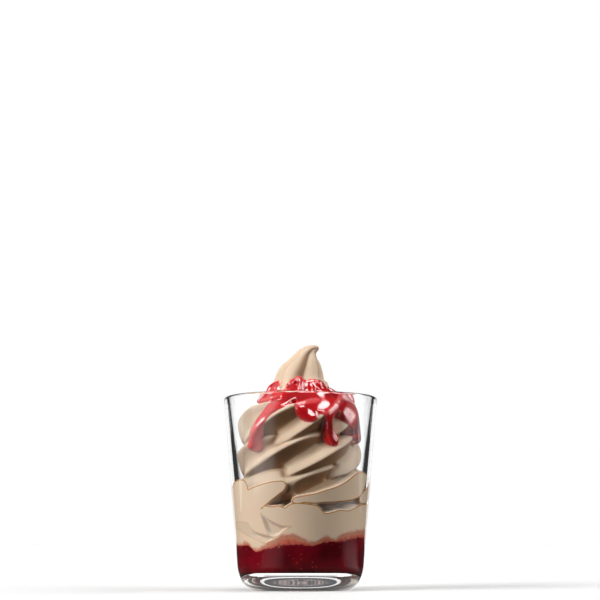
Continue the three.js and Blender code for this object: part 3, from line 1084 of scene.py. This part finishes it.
@dataclass(frozen=True)
class PressedCream:
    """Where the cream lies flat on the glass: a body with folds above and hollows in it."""

    map_radius: float = 33.0
    body_top: Table = (
        (-180, 51), (-160, 52.4), (-140, 53), (-118, 51.4), (-100, 52.0), (-78, 50), (-60, 47), (-39, 44.3),
        (-35, 45.7), (-26, 45.1), (-20, 45.6), (-14, 44.4), (-12, 45.5), (-8, 46.6), (-1, 46.9), (5, 46.6),
        (12, 46.0), (17, 44.8), (20.5, 42.6), (24, 41.5), (33, 42.6), (38, 43.4), (50, 43.3), (64, 46.0),
        (79, 47.1), (95, 46.4), (110, 49), (128, 47.4), (145, 47), (164, 49.6))
    left_fold: Table = (
        (-98, 53.4), (-92, 54.6), (-85, 56.3), (-76, 58.7), (-65, 60.0), (-58, 59.6), (-54, 57.7),
        (-53, 55.4), (-52.6, 54.4), (-50, 54.9), (-45, 55.7), (-34, 57.4), (-25, 58.4), (-17, 58.7),
        (-14, 57.9), (-12.6, 56.7), (-14.6, 54.1), (-19, 52.1), (-25, 49.6), (-32, 46.7), (-38.6, 44.2),
        (-50, 40), (-80, 42), (-98, 46))
    right_fold: Table = (
        (-7.4, 47.8), (-6, 49.6), (-2, 50.3), (5, 51.1), (14, 52.1), (22, 53.7), (32, 55.5), (42, 58.2),
        (50, 61.2), (56, 63.4), (64, 64.2), (71, 63.5), (74.6, 61.8), (73, 59.1), (69, 54.3), (63, 51.1),
        (54, 49.4), (45, 48.6), (33, 47.9), (22, 47.6), (12, 47.1), (4, 47.5), (-1, 47.0), (-5, 47.0))
    side_fold: Table = (
        (65, 48.2), (64, 49.8), (67, 52.8), (77, 55.6), (86, 59.2), (98, 62.0), (112, 64.5), (124, 64.0),
        (131, 61.5), (130, 57.5), (122, 54.0), (108, 51.6), (95, 50.8), (86, 50.3), (80, 48.2), (72, 47.4))
    back_fold: Table = (
        (138, 46.5), (140, 51.5), (150, 55), (160, 59.5), (172, 62.0), (186, 64.0), (196, 63.4),
        (200, 60.5), (197, 56.5), (190, 53.4), (182, 49), (168, 47), (150, 45.2))
    wedge_hollow: Table = (
        (-39, 42.0), (-38, 38.9), (-35.4, 34.3), (-32.6, 31.0), (-29, 29.6), (-25, 29.4), (-20, 30.3),
        (-15, 32.8), (-8.6, 34.6), (-17, 35.2), (-25, 36.9), (-33, 39.3))
    slot_hollow: Table = (
        (-108, 36.4), (-99, 37.6), (-89, 37.3), (-73, 37.7), (-58, 36.8), (-54, 34.4), (-46, 31.8),
        (-36, 30.5), (-31, 30.2), (-27, 29.2), (-28, 27.2), (-35, 25.6), (-41, 26.5), (-50, 28.3),
        (-62, 30.4), (-75, 33.0), (-91, 35.2), (-102, 35.0))
    fold_edge: float = 0.9
    hollow_depth: Table = ((-56.0, 0.0), (-46.0, 1.7))
    hollow_edge: float = 1.1
    hollow_slope: float = 0.5
    hollow_step: float = 0.4
    hollow_line: Table = ((-2.5, 1.0), (-1.0, 0.25))
    recess: Table = ((41.0, 9.5), (48.0, 8.0), (52.0, 2.6), (58.0, 0.6), (90.0, 0.4))
    map_reach: float = 200.0
    map_points: int = 801
    outline_steps: int = 5

    @property
    def scale(self) -> float:
        """The millimetres in a degree on the unrolled wall."""
        return math.radians(1.0) * self.map_radius

    def _distance(self, bearings: Array, heights: Array, outline: Table) -> Array:
        """Distance to one closed outline on the unrolled wall.

        Args:
            bearings: the bearing of each place.
            heights: its height.
            outline: the outline's (bearing, height) points.

        Returns:
            The distance at each place, negative inside the outline.
        """
        flat = curve_through(outline, closed=True, steps=self.outline_steps) * (self.scale, 1.0)
        return np.minimum.reduce([signed_distance((bearings + lap) * self.scale, heights, flat)
                                  for lap in (-360.0, 0.0, 360.0)])

    def contact(self, bearings: Array, heights: Array) -> tuple[Array, Array]:
        """Where the cream touches the wall.

        Args:
            bearings: the bearing of each place.
            heights: its height.

        Returns:
            The distance outside the folds and the body, negative on them, and the distance
            into the hollows, positive in them.
        """
        around = np.linspace(-self.map_reach, self.map_reach, self.map_points)
        top = np.column_stack([around, round_line(self.body_top, around)])
        body = np.vstack([top, (self.map_reach, 0.0), (-self.map_reach, 0.0)]) * (self.scale, 1.0)
        folds = (self.left_fold, self.right_fold, self.side_fold, self.back_fold)
        outside = np.minimum.reduce([signed_distance(bearings * self.scale, heights, body)]
                                    + [self._distance(bearings, heights, fold) for fold in folds])
        hollows = (self.wedge_hollow, self.slot_hollow)
        inside = np.maximum.reduce([-self._distance(bearings, heights, hollow) for hollow in hollows])
        return outside, inside

    def lay_on(self, wall: Array, rope: Array, bearings: Array,
               heights: Array) -> tuple[Array, Array, Array]:
        """Presses the coil onto the wall.

        Args:
            wall: the radius at which pressed cream lies.
            rope: how far out the coil reaches.
            bearings: the bearing of each place.
            heights: its height.

        Returns:
            The cream's radius, the distance to the line where it leaves the glass, negative
            on the glass, and how dark that line is.
        """
        outside, inside = self.contact(bearings, heights)
        behind = np.minimum(rope, wall - eased(self.recess, heights))
        fold = np.where(outside < self.fold_edge, wall - quarter_round(outside, self.fold_edge), 0.0)
        cream = np.maximum(behind, fold)
        steep = quarter_round(inside, self.hollow_edge) / self.hollow_edge
        steep *= eased(self.hollow_depth, bearings)
        cream -= np.minimum(steep, self.hollow_slope * np.maximum(inside, 0.0) + self.hollow_step * steep)
        return cream, np.maximum(outside, inside), eased(self.hollow_line, inside)


@dataclass(frozen=True)
class TideLine:
    """The uneven line on the glass between the bottom sauce and the cream."""

    points: Table = (
        (-180, 28.4), (-165, 26.6), (-150, 26), (-135, 27.6), (-120, 28), (-105, 25.8), (-90, 25.3),
        (-80, 24.6), (-71, 24.7), (-66, 25.9), (-60, 25.7), (-55, 23.6), (-49, 21.9), (-42, 22.9),
        (-35, 24.7), (-27, 26.6), (-20, 28.5), (-8, 29.7), (0, 28.2), (6, 26.5), (12, 25.7), (19, 26.8),
        (25, 28.8), (29, 28.2), (34, 27.4), (45, 30), (56, 31.2), (69, 31.9), (82, 32.4), (95, 30.6),
        (110, 28.2), (125, 27), (138, 28.8), (150, 29.5), (166, 28.0))

    def height(self, bearings: Array) -> Array:
        """The line's height at each bearing."""
        return round_line(self.points, bearings)


@dataclass
class SoftServe:
    """The cream in the glass: packed at the wall, coiled above it and drawn into a peak."""

    glass: Tumbler
    rope: PipedRope = PipedRope()
    peak: SwirlPeak = SwirlPeak()
    pressed: PressedCream = PressedCream()
    tide: TideLine = TideLine()
    columns: int = 390
    spacing: float = 0.5
    lowest: float = 15.0
    core: Table = ((14.0, 22.0), (60.0, 20.0), (104.0, 16.0), (109.0, 12.0))
    into_wall: float = 0.1
    tide_drop: float = 1.6
    fillet: float = 0.8
    peak_spacing: float = 1.1
    peak_join: float = 1.2
    coil_top: float = 116.0
    packed_top: float = 80.0
    edge_range: Span = (-6.0, 9.0)
    tip_length: float = 0.5
    ripple: float = 0.22
    ripple_length: float = 16.0
    # the painted shade that the cream's colour takes, by facing and hollowness
    shade_lean: float = 0.5
    shade_turn: float = 0.85
    shade_away: float = -62.0
    shade_least: float = -0.06
    shade_key: float = 0.6
    shade_from: Span = (41.5, 2.5)
    shade_blur: Span = (1.5, 6.0)
    shade_hollow: Span = (1.2, 0.5)

    def __post_init__(self) -> None:
        """Works out the surface's grid of points."""
        self.bearings = -180.0 + 360.0 * np.arange(self.columns) / self.columns
        stations = self.peak.stations(self.spacing * self.peak_spacing)
        straight = np.arange(self.lowest, self.peak.spine[0][1] - self.spacing / 2, self.spacing)
        none = np.zeros_like(straight)
        self.middle_x = np.concatenate([none, stations[:, 0]])
        self.heights = np.concatenate([straight, stations[:, 1]])
        self.lean_x = np.concatenate([none, stations[:, 3]])
        self.lean_z = np.concatenate([none + 1, stations[:, 4]])
        self.radius, self.edge, self.line = self._surface(np.concatenate([none, stations[:, 2]]))
        self.shade = self._shade()

    def _surface(self, peak_radius: Array) -> tuple[Array, Array, Array]:
        """The cream's radius, its distance to the contact line and that line's strength.

        Args:
            peak_radius: the peak's plain radius at each row, 0 below it.

        Returns:
            The three fields, one row for each height.
        """
        bearings, heights = np.meshgrid(self.bearings, self.heights)
        rising = np.maximum.accumulate(self.heights + 1e-6 * np.arange(len(self.heights)))
        coil = self.rope.outline(self.bearings, rising)
        coil = np.where(heights < self.coil_top, np.maximum(coil, eased(self.core, heights)), 0.0)
        coil += self.ripple * waves(bearings, heights, self.ripple_length, SEED) * (coil > 0)
        cream = smooth_max(coil, self.peak.outline(self.bearings, peak_radius), self.peak_join)
        cream = np.where(heights < self.coil_top, blurred(cream, self.fillet), cream)
        wall = self.glass.inner_wall(heights) + self.into_wall
        low = heights < self.packed_top
        edge = np.full(heights.shape, self.edge_range[1])
        line = np.zeros(heights.shape)
        places = (wall[low], cream[low], bearings[low], heights[low])
        cream[low], edge[low], line[low] = self.pressed.lay_on(*places)
        below = np.maximum(self.tide.height(self.bearings)[None, :] - heights, 0.0)
        cream = np.where(below > 0, np.minimum(cream, wall - below * self.tide_drop), cream)
        return cream, np.clip(edge, *self.edge_range), line

    def _shade(self) -> Array:
        """Works out how deep in shade the cream lies.

        Returns:
            The shade by how far the cream faces down or away from the key light, and how
            hollow it is, one row for each height.
        """
        smooth, broad = (blurred(self.radius, spread) for spread in self.shade_blur)
        lean = np.gradient(smooth, axis=0) / self.spacing
        arc = math.radians(360.0 / self.columns) * smooth
        turned = (np.roll(smooth, 1, axis=1) - np.roll(smooth, -1, axis=1)) / (2 * arc)
        from_key = np.radians(self.bearings[None, :] - self.shade_away)
        turned *= np.sin(from_key)
        lean = np.maximum(lean, self.shade_least)
        lean *= 1.0 - self.shade_key * np.maximum(np.cos(from_key), 0.0)
        deep, weight = self.shade_hollow
        # painted shade: faces turned down or away from the key light, and hollows, are darkened in the
        # colour
        shade = (soft_steps((lean + self.shade_turn * turned) / self.shade_lean)
                 + weight * soft_steps((broad - self.radius) / deep))
        above = np.clip((self.heights[:, None] - self.shade_from[0]) / self.shade_from[1], 0.0, 1.0)
        return np.clip(shade, 0.0, 1.0) * np.clip(self.edge, 0.0, 1.0) * above

    def point_grid(self, radius: Array) -> Array:
        """Places a field of radii round the bent middle line.

        Args:
            radius: the radius, one row for each height.

        Returns:
            The points, as (row, column, 3).
        """
        angles = np.radians(self.bearings)[None, :]
        side, front = radius * np.sin(angles), -radius * np.cos(angles)
        return np.stack([self.middle_x[:, None] + side * self.lean_z[:, None], front,
                         self.heights[:, None] - side * self.lean_x[:, None]], axis=-1)

    def build(self, groups: GroupKit) -> Piece:
        """Makes the cream as one closed mesh.

        Args:
            groups: the shared shader groups.

        Returns:
            The piece.
        """
        rings = self.point_grid(self.radius)
        tip = rings[-1].mean(axis=0) + self.tip_length * np.array([self.lean_x[-1], 0.0, self.lean_z[-1]])
        points, faces = closed_rings(rings, (0.0, 0.0, self.lowest), tip)
        tide = self.heights[:, None] - self.tide.height(self.bearings)[None, :]
        off_line = self.edge_range[1]
        fields = {"edge": (self.edge, off_line, off_line), "shade": (self.shade, 0.0, 0.0),
                  "line": (self.line, 0.0, 0.0), "tide": (tide, tide.min(), tide.max())}
        attributes = {name: np.append(field.ravel(), ends) for name, (field, *ends) in fields.items()}
        piece = add_piece("soft_serve_swirl", points, faces, CreamFinish().make(groups), attributes)
        return stand_for(piece, Node.SOFT_SERVE)


# ---------------------------------------------------------------- the sauces


@dataclass
class BottomSauce:
    """The pool of fruit sauce that fills the foot of the glass up to the cream."""

    glass: Tumbler
    tide: TideLine = TideLine()
    columns: int = 360
    rows: int = 60
    into_wall: float = 0.06
    floor_gap: float = 0.1
    overlap: float = 1.4
    middle_height: float = 24.0
    clear_top: Table = (
        (-165, 25.0), (-130, 25.6), (-91, 24.7), (-70, 24.4), (-59, 24.4), (-49, 21.2), (-36, 22.7),
        (-22, 23.7), (-14, 24.7), (1, 24.7), (12, 24.2), (20, 25.7), (31, 26.5), (46, 26.7), (70, 28.8),
        (100, 27.4), (140, 26.0))
    floor_steps: int = 16
    floor_ring: float = 3.0
    top_rings: int = 12
    top_ring: float = 0.06
    least_froth: float = 1.2
    froth_range: Span = (-1.0, 2.0)

    def build(self, groups: GroupKit) -> Piece:
        """Makes the pool as one closed mesh.

        Args:
            groups: the shared shader groups.

        Returns:
            The piece.
        """
        bearings = -180.0 + 360.0 * np.arange(self.columns) / self.columns
        angles = np.radians(bearings)
        tide = self.tide.height(bearings)
        floor = self.glass.floor_line(self.floor_steps, self.into_wall, self.floor_gap)
        share = np.linspace(0.0, 1.0, self.rows)[1:, None]
        start = floor[-1, 1]
        heights = start + share * (tide + self.overlap - start)[None, :]
        radius = self.glass.inner_wall(heights) + self.into_wall
        floor = np.vstack([[self.floor_ring, floor[0, 1]], floor])
        radius = np.vstack([np.repeat(floor[:, :1], self.columns, axis=1), radius])
        heights = np.vstack([np.repeat(floor[:, 1:], self.columns, axis=1), heights])
        inward = np.linspace(1.0, self.top_ring, self.top_rings)[1:, None]
        radius = np.vstack([radius, radius[-1] * inward])
        heights = np.vstack([heights, self.middle_height + (heights[-1] - self.middle_height) * inward])
        points, faces = closed_rings(ring_points(radius, heights, angles),
                                     (0.0, 0.0, heights[0, 0]), (0.0, 0.0, self.middle_height))
        clear_top = round_line(self.clear_top, bearings)[None, :]
        froth = (heights - clear_top) / np.maximum(tide[None, :] - clear_top, self.least_froth)
        froth = np.append(np.clip(froth, *self.froth_range).ravel(), self.froth_range)
        finish = BottomSauceFinish().make(groups)
        piece = add_piece("sauce_pool", points, faces, finish, {"froth": froth})
        return stand_for(piece, Node.BOTTOM_SAUCE)


@dataclass
class SauceTopping:
    """The sauce poured over the swirl: a mantle round the foot of the peak and runs down the coil."""

    cream: SoftServe
    top: Table = (
        (-180, 112), (-160, 113.8), (-140, 114.5), (-125, 112.4), (-110, 111.5), (-90, 113.6), (-76, 115),
        (-66, 114.8), (-58, 113.5), (-50, 111.6), (-44, 110.2), (-37, 109.8), (-31, 110.8), (-26, 113.4),
        (-18, 115.6), (-8, 116.9), (2, 117.2), (8, 116.4), (15, 115.4), (22, 115.7), (31, 116.4),
        (42, 115.6), (52, 115.4), (60, 113.4), (70, 112), (90, 110.4), (105, 111.6), (120, 114),
        (135, 115.6), (150, 116), (166, 113.8))
    hem: Table = (
        (-180, 101), (-165, 102.8), (-150, 103.5), (-135, 102.4), (-120, 102), (-105, 103.6), (-90, 102.6),
        (-67, 101.6), (-48, 101.8), (-36, 102.6), (-20, 103), (-5, 101.8), (4, 100), (12, 95.8), (19, 94.8),
        (26, 93.9), (34, 93.6), (40, 94.8), (46, 94.0), (51, 91.0), (57, 86.8), (63, 83.2), (69, 81.0),
        (76, 80.3), (84, 80.4), (91, 81.6), (96, 85.0), (102, 91), (110, 96), (128, 99), (145, 98),
        (162, 100))
    runs: tuple[Table, ...] = (
        ((2, 105.8, 2.8, 1.8), (-6, 105.0, 3.2, 2.0), (-14, 103.6, 3.6, 2.2), (-22, 101.6, 3.8, 2.3),
         (-33, 98.2, 3.9, 2.3), (-38.5, 93.2, 3.8, 2.3), (-42.3, 88.6, 3.5, 2.3), (-44.8, 84.4, 3.1, 2.2),
         (-46.8, 80.6, 3.1, 2.3), (-47.8, 78.2, 3.5, 2.7)),
        ((2, 103.4, 4.8, 1.7), (5, 98.8, 6.2, 2.0), (7, 96.4, 5.8, 2.4), (9.5, 94.8, 4.6, 2.6)),
        ((40, 108.5, 4.0, 2.0), (37, 104.5, 5.4, 2.2), (34, 100.0, 5.4, 2.2), (31, 95.5, 4.2, 2.1),
         (30, 91.5, 3.2, 2.0), (29.8, 87, 3.1, 2.0), (32, 83.4, 3.7, 2.4), (33, 81.6, 4.0, 2.7)),
        ((64, 104, 6.0, 1.4), (72, 98, 7.0, 1.4), (78, 92, 7.4, 2.4), (81, 87, 6.0, 3.8),
         (82, 83.6, 4.6, 4.8)),
        ((126, 100, 5.0, 2.0), (131, 95.5, 3.8, 2.0), (133.4, 90.5, 3.1, 2.0), (134.6, 86, 3.3, 2.2),
         (135, 84.4, 3.8, 2.7)),
        ((-148, 102, 5.0, 2.0), (-144.6, 98, 3.8, 2.0), (-141.4, 93.6, 3.1, 2.0), (-139.6, 89.6, 3.3, 2.2),
         (-139, 88, 3.9, 2.7)),
        ((172, 100, 7.0, 2.0), (178, 96.4, 5.8, 2.2), (181, 94, 4.9, 2.4)),
    )
    lumps: Table = (
        (-25, 112.4, 2.1), (-12, 115.2, 2.4), (0, 112.0, 3.4), (35, 114.2, 3.6), (20, 109.6, 3.2),
        (-78, 112.4, 3.2), (-58, 109.8, 2.8), (62, 109.6, 3.0), (84, 106.4, 3.4), (112, 108.6, 3.2),
        (136, 112.0, 3.4), (164, 110.4, 3.0), (-166, 109.4, 3.4), (-136, 110.6, 3.2), (-108, 108.4, 3.0))
    map_radius: float = 32.0
    mantle: float = 1.6
    edge_width: float = 2.6
    lump_height: float = 0.9
    lump_length: float = 1.0
    run_steps: int = 8
    patch_rounds: int = 3
    ragged: float = 0.25
    ragged_length: float = 8.0
    uneven: float = 0.2
    uneven_length: float = 14.0
    lean_blur: float = 3.0
    tuck: float = 0.02
    settle: float = 4.0
    film: float = 0.35
    least_facing: float = 0.4
    join: float = 1.4
    bridge: float = 8.0
    hang: float = 10.0
    hang_slope: float = 0.12
    margin: float = 1.0
    dip: float = 0.5
    backing: float = 1.1
    # painted light: the share of its thickness that the sauce shows at each bearing, less where the key
    # light shines through, so it shows paler there
    painted_light_thinning: Table = ((-80.0, 1.0), (-62.0, 0.2), (-32.0, 0.2), (-14.0, 1.0))

    def _bridged(self, radius: Array, spread: float) -> Array:
        """The cream's surface with its creases bridged, as the sauce hangs over them.

        Args:
            radius: the cream's radius.
            spread: how widely the creases are filled, in cells.

        Returns:
            The radius of the bridged surface.
        """
        hung = radius.copy()
        spacing = self.cream.spacing
        for step in range(1, int(self.hang / spacing)):
            hung[:-step] = np.maximum(hung[:-step], radius[step:] - self.hang_slope * step * spacing)
        return blurred(np.maximum(hung, blurred(hung, spread)), spread / 2)

    def _chain(self, run: Table) -> tuple[Array, Array]:
        """Lays a run of sauce along a curve over the cream.

        Args:
            run: (bearing, height, half width, thickness) stations.

        Returns:
            How deep inside the run's edge each point of the cream's grid lies, negative
            outside, and how high the run stands over it.
        """
        heights = self.cream.heights[:, None]
        deepest = np.full(self.cream.radius.shape, -np.inf)
        tallest = np.zeros_like(deepest)
        for bearing, level, half, tall in curve_through(run, steps=self.run_steps):
            apart = (self.cream.bearings - bearing + 180.0) % 360.0 - 180.0
            depth = half - np.hypot(math.radians(1.0) * self.map_radius * apart[None, :], heights - level)
            deepest = np.maximum(deepest, depth)
            tallest = np.maximum(tallest, tall * rounded_edge(depth, min(half, self.edge_width)))
        return deepest, tallest

    def _inside(self, line: Table, side: float) -> Array:
        """How far the cream's points lie to one side of a line round it.

        Args:
            line: the line's (bearing, height) points.
            side: 1 for above the line, -1 for below it.

        Returns:
            The distance at each point, negative on the other side.
        """
        level = round_line(line, self.cream.bearings)
        arc = math.radians(360.0 / self.cream.columns) * self.map_radius
        slope = (np.roll(level, -1) - np.roll(level, 1)) / (2 * arc)
        return side * (self.cream.heights[:, None] - level[None, :]) / np.hypot(1.0, slope)[None, :]

    def build(self, groups: GroupKit) -> Piece:
        """Makes the topping as one closed skin of sauce.

        Args:
            groups: the shared shader groups.

        Returns:
            The piece.
        """
        cream = self.cream
        base = self._bridged(cream.radius, self.bridge)
        lean = np.gradient(base, axis=0) / cream.spacing
        steepness = blurred(lean, self.lean_blur)
        facing = np.clip(1.0 / np.sqrt(1.0 + steepness**2), self.least_facing, 1.0)
        bearings, heights = np.meshgrid(cream.bearings, cream.heights)
        ragged = self.ragged * waves(bearings, heights, self.ragged_length, SEED + 2)
        reach = np.minimum(self._inside(self.top, -1.0), self._inside(self.hem, 1.0)) + ragged
        uneven = self.uneven * waves(bearings, heights, self.uneven_length, SEED + 1)
        height = self.mantle * (1.0 + uneven)
        for run in self.runs:
            depth, tall = self._chain(run)
            height = smooth_max(height, tall, self.join)
            reach = smooth_max(reach, depth, self.join)
        outside = blurred(base + height / facing, self.settle)
        for bearing, level, size in self.lumps:
            ends = (bearing, level, size, 1.0), (bearing + self.lump_length, level, size, 1.0)
            outside += self.lump_height * rounded_edge(self._chain(ends)[0], size) / facing
        full = np.maximum(outside - cream.radius, self.film)
        thickness = np.where(reach > 0, full * rounded_edge(reach, self.edge_width), 0.0)
        sunk = self.dip * np.clip(-reach / self.margin, 0.0, 1.0)
        outer = cream.point_grid(cream.radius + thickness - sunk - self.tuck)
        inner = cream.point_grid(cream.radius - self.backing)
        # painted light: the thickness that the colour reads is cut where the key light shines through
        height = thickness * facing * eased(self.painted_light_thinning, bearings)
        piece = self._skin(outer, inner, reach > -self.margin, height, groups)
        return stand_for(piece, Node.SAUCE_TOPPING)

    def _skin(self, outer: Array, inner: Array, kept: Array, height: Array,
              groups: GroupKit) -> Piece:
        """Closes the outer and inner sheets of the sauce round their rim.

        Args:
            outer: the outer sheet's grid of points.
            inner: the inner sheet's.
            kept: which points belong to the sauce.
            height: the sauce's thickness at each point, cut where painted light falls.
            groups: the shared shader groups.

        Returns:
            The piece.
        """
        whole = kept[:-1] & np.roll(kept, -1, axis=1)[:-1] & kept[1:] & np.roll(kept, -1, axis=1)[1:]
        for _ in range(self.patch_rounds):
            right = np.roll(whole, -1, axis=1)
            up = np.vstack([whole[1:], np.zeros_like(whole[:1])])
            corner = np.roll(up, -1, axis=1)
            whole |= up & right & ~corner
            lone = whole & corner & ~right & ~up
            whole |= np.roll(lone, 1, axis=1)
        rows, columns = kept.shape
        quads = grid_faces(rows, columns)[whole.ravel()]
        used = np.unique(quads)
        number = np.full(rows * columns, -1)
        number[used] = np.arange(len(used))
        quads = number[quads]
        count = len(used)
        edges = np.concatenate([quads[:, [k, (k + 1) % 4]] for k in range(4)])
        there = set(map(tuple, edges.tolist()))
        rim = [(a, b) for a, b in there if (b, a) not in there]
        faces = quads.tolist() + (quads[:, ::-1] + count).tolist()
        faces += [(b, a, a + count, b + count) for a, b in sorted(rim)]
        points = np.vstack([outer.reshape(-1, 3)[used], inner.reshape(-1, 3)[used]])
        depth = height.ravel()[used]
        return add_piece("sauce_mantle", points, faces, ToppingFinish().make(groups),
                         {"thickness": np.concatenate([depth, depth])})


# ---------------------------------------------------------------- the studio


@dataclass(frozen=True)
class SoftBox:
    """A soft-edged window of light in the distance: where it stands, how far it spans, how bright."""

    azimuth: float
    half_width: float
    low: float
    high: float
    soft: float
    strength: float


@dataclass(frozen=True)
class Studio:
    """The table top, the light round it and the camera."""

    boxes: tuple[SoftBox, ...] = (
        SoftBox(-62.0, 16.0, 10.0, 40.0, 4.0, 12.6),
        SoftBox(16.0, 14.0, 48.0, 62.0, 3.0, 4.2),
        SoftBox(0.0, 180.0, 76.0, 90.0, 3.0, 3.6),
        SoftBox(86.0, 30.0, 15.0, 50.0, 6.0, 4.1),
        SoftBox(180.0, 30.0, -14.0, 30.0, 4.0, 0.9),
        SoftBox(-112.0, 14.0, -10.0, 26.0, 4.0, 1.2),
    )
    dim: float = 0.03
    sheen: float = 1.6
    sheen_from: Span = (42.0, 48.0)
    backdrop_light: float = 1.2
    band: tuple[float, float, float, float] = (6.5, 7.5, 16.5, 18.5)
    band_core: Span = (14.0, 9.0)
    band_grain: float = 40.0
    cap: Span = (46.0, 36.0)
    band_detail: float = 3.0
    ripples: Span = (0.3, 0.75)
    band_dark: Colour = (0.07, 0.075, 0.085, 1.0)
    band_light: Colour = (0.5, 0.4, 0.38, 1.0)
    camera_distance: float = 830.0
    camera_height: float = 31.61
    camera_side: float = -0.3
    camera_pitch: float = 8.942
    clip_start: float = 10.0
    lens: float = 88.5
    sensor: float = 36.0
    table_size: float = 6000.0
    table_drop: float = 0.05

    @staticmethod
    def _window(bench: Bench, way: Socket, box: SoftBox) -> Socket:
        """The share of one soft box that is seen along each direction.

        Args:
            bench: the world's bench.
            way: the direction looked along.
            box: the soft box.

        Returns:
            The share, from 0 outside the box to 1 inside it.
        """
        rise = bench.add("SeparateXYZ", {0: way}).outputs["Z"]
        share = bench.ramp(rise, *sines(box.low - box.soft, box.low + box.soft))
        if box.high < 90.0:
            share = bench.times(share, bench.ramp(rise, *sines(box.high + box.soft, box.high - box.soft)))
        if box.half_width < 180.0:
            outer, inner = (math.cos(math.radians(box.half_width + side * box.soft)) for side in (1, -1))
            share = bench.times(share, bench.ramp(bench.facing(way, box.azimuth), outer, inner))
        return share

    def _backdrop(self, bench: Bench, way: Socket,
                  rise: Socket) -> Socket:
        """What the glass shows of the studio: white, with dark screens and a dull band above them.

        Args:
            bench: the world's bench.
            way: the direction looked along.
            rise: the sine of its elevation.

        Returns:
            The colour along each direction.
        """
        low, lit_low, lit_high, high = sines(*self.band)
        above = bench.ramp(rise, low, lit_low)
        band = bench.times(above, bench.ramp(rise, high, lit_high))
        cap = bench.ramp(rise, *sines(*self.cap))
        open_way = bench.times(bench.larger(DarkFlags().mask(bench, way), above), cap)
        light = bench.times(open_way, self.backdrop_light)
        white = bench.add("CombineColor", {0: light, 1: light, 2: light}).outputs[0]
        grain = {"Vector": way, "Scale": self.band_grain, "Detail": self.band_detail}
        ripples = bench.ramp(bench.add("TexNoise", grain).outputs[0], *self.ripples)
        inner = bench.times(bench.ramp(rise, *sines(*self.band_core)), ripples)
        return bench.blend(band, white, bench.blend(inner, self.band_dark, self.band_light))

    def _lit_world(self) -> None:
        """Lights the scene from soft boxes, on white for what the camera sees behind the part."""
        world = bpy.data.worlds.new("studio")
        bpy.context.scene.world = world
        world.use_nodes = True
        bench = Bench(world.node_tree)
        way = bench.add("TexCoord").outputs["Generated"]
        total = self.dim
        for box in self.boxes:
            total = bench.scaled(self._window(bench, way, box), box.strength, total)
        path = bench.add("LightPath").outputs
        rise = bench.add("SeparateXYZ", {0: way}).outputs["Z"]
        high = bench.times(bench.ramp(rise, *sines(*self.sheen_from)), path["Is Glossy Ray"])
        total = bench.times(total, bench.scaled(high, self.sheen, 1.0))
        total = bench.blend(path["Is Transmission Ray"], total, self._backdrop(bench, way, rise))
        total = bench.blend(path["Is Camera Ray"], total, WHITE)
        bench.feed(bench.tree.nodes["Background"], {"Color": total})

    def _camera(self) -> None:
        """Stands the camera in front of the part, a little below its middle and looking up."""
        view = bpy.data.objects.new("camera", bpy.data.cameras.new("camera"))
        bpy.context.collection.objects.link(view)
        view.data.lens = self.lens
        view.data.sensor_width = self.sensor
        view.data.clip_start = self.clip_start * MM
        view.location = np.array([self.camera_side, -self.camera_distance, self.camera_height]) * MM
        view.rotation_euler = (math.radians(90.0 + self.camera_pitch), 0.0, 0.0)
        bpy.context.scene.camera = view

    def _table(self) -> None:
        """Lays the table top just under the glass."""
        half = self.table_size / 2
        corners = ((-half, -half), (half, -half), (half, half), (-half, half))
        points = np.array([(x, y, -self.table_drop) for x, y in corners])
        top = add_piece("table_top", points, [(0, 1, 2, 3)], TableFinish().make())

    def build(self) -> None:
        """Sets up the table, the light and the camera."""
        self._camera()
        self._lit_world()
        self._table()
        bpy.context.scene.view_settings.view_transform = "Standard"


# ---------------------------------------------------------------- the whole


def report(piece: Piece) -> None:
    """Logs a piece's name and size."""
    log.info("%s: %d faces", piece.name, len(piece.data.polygons))


def main() -> None:
    """Builds the studio and every piece of the sundae in order."""
    logging.basicConfig(level=logging.INFO, format="%(message)s")
    Studio().build()
    groups = GroupKit()
    glass = Tumbler()
    cream = SoftServe(glass)
    report(glass.build())
    report(cream.build(groups))
    report(BottomSauce(glass).build(groups))
    report(SauceTopping(cream).build(groups))


if __name__ == "__main__":
    main()
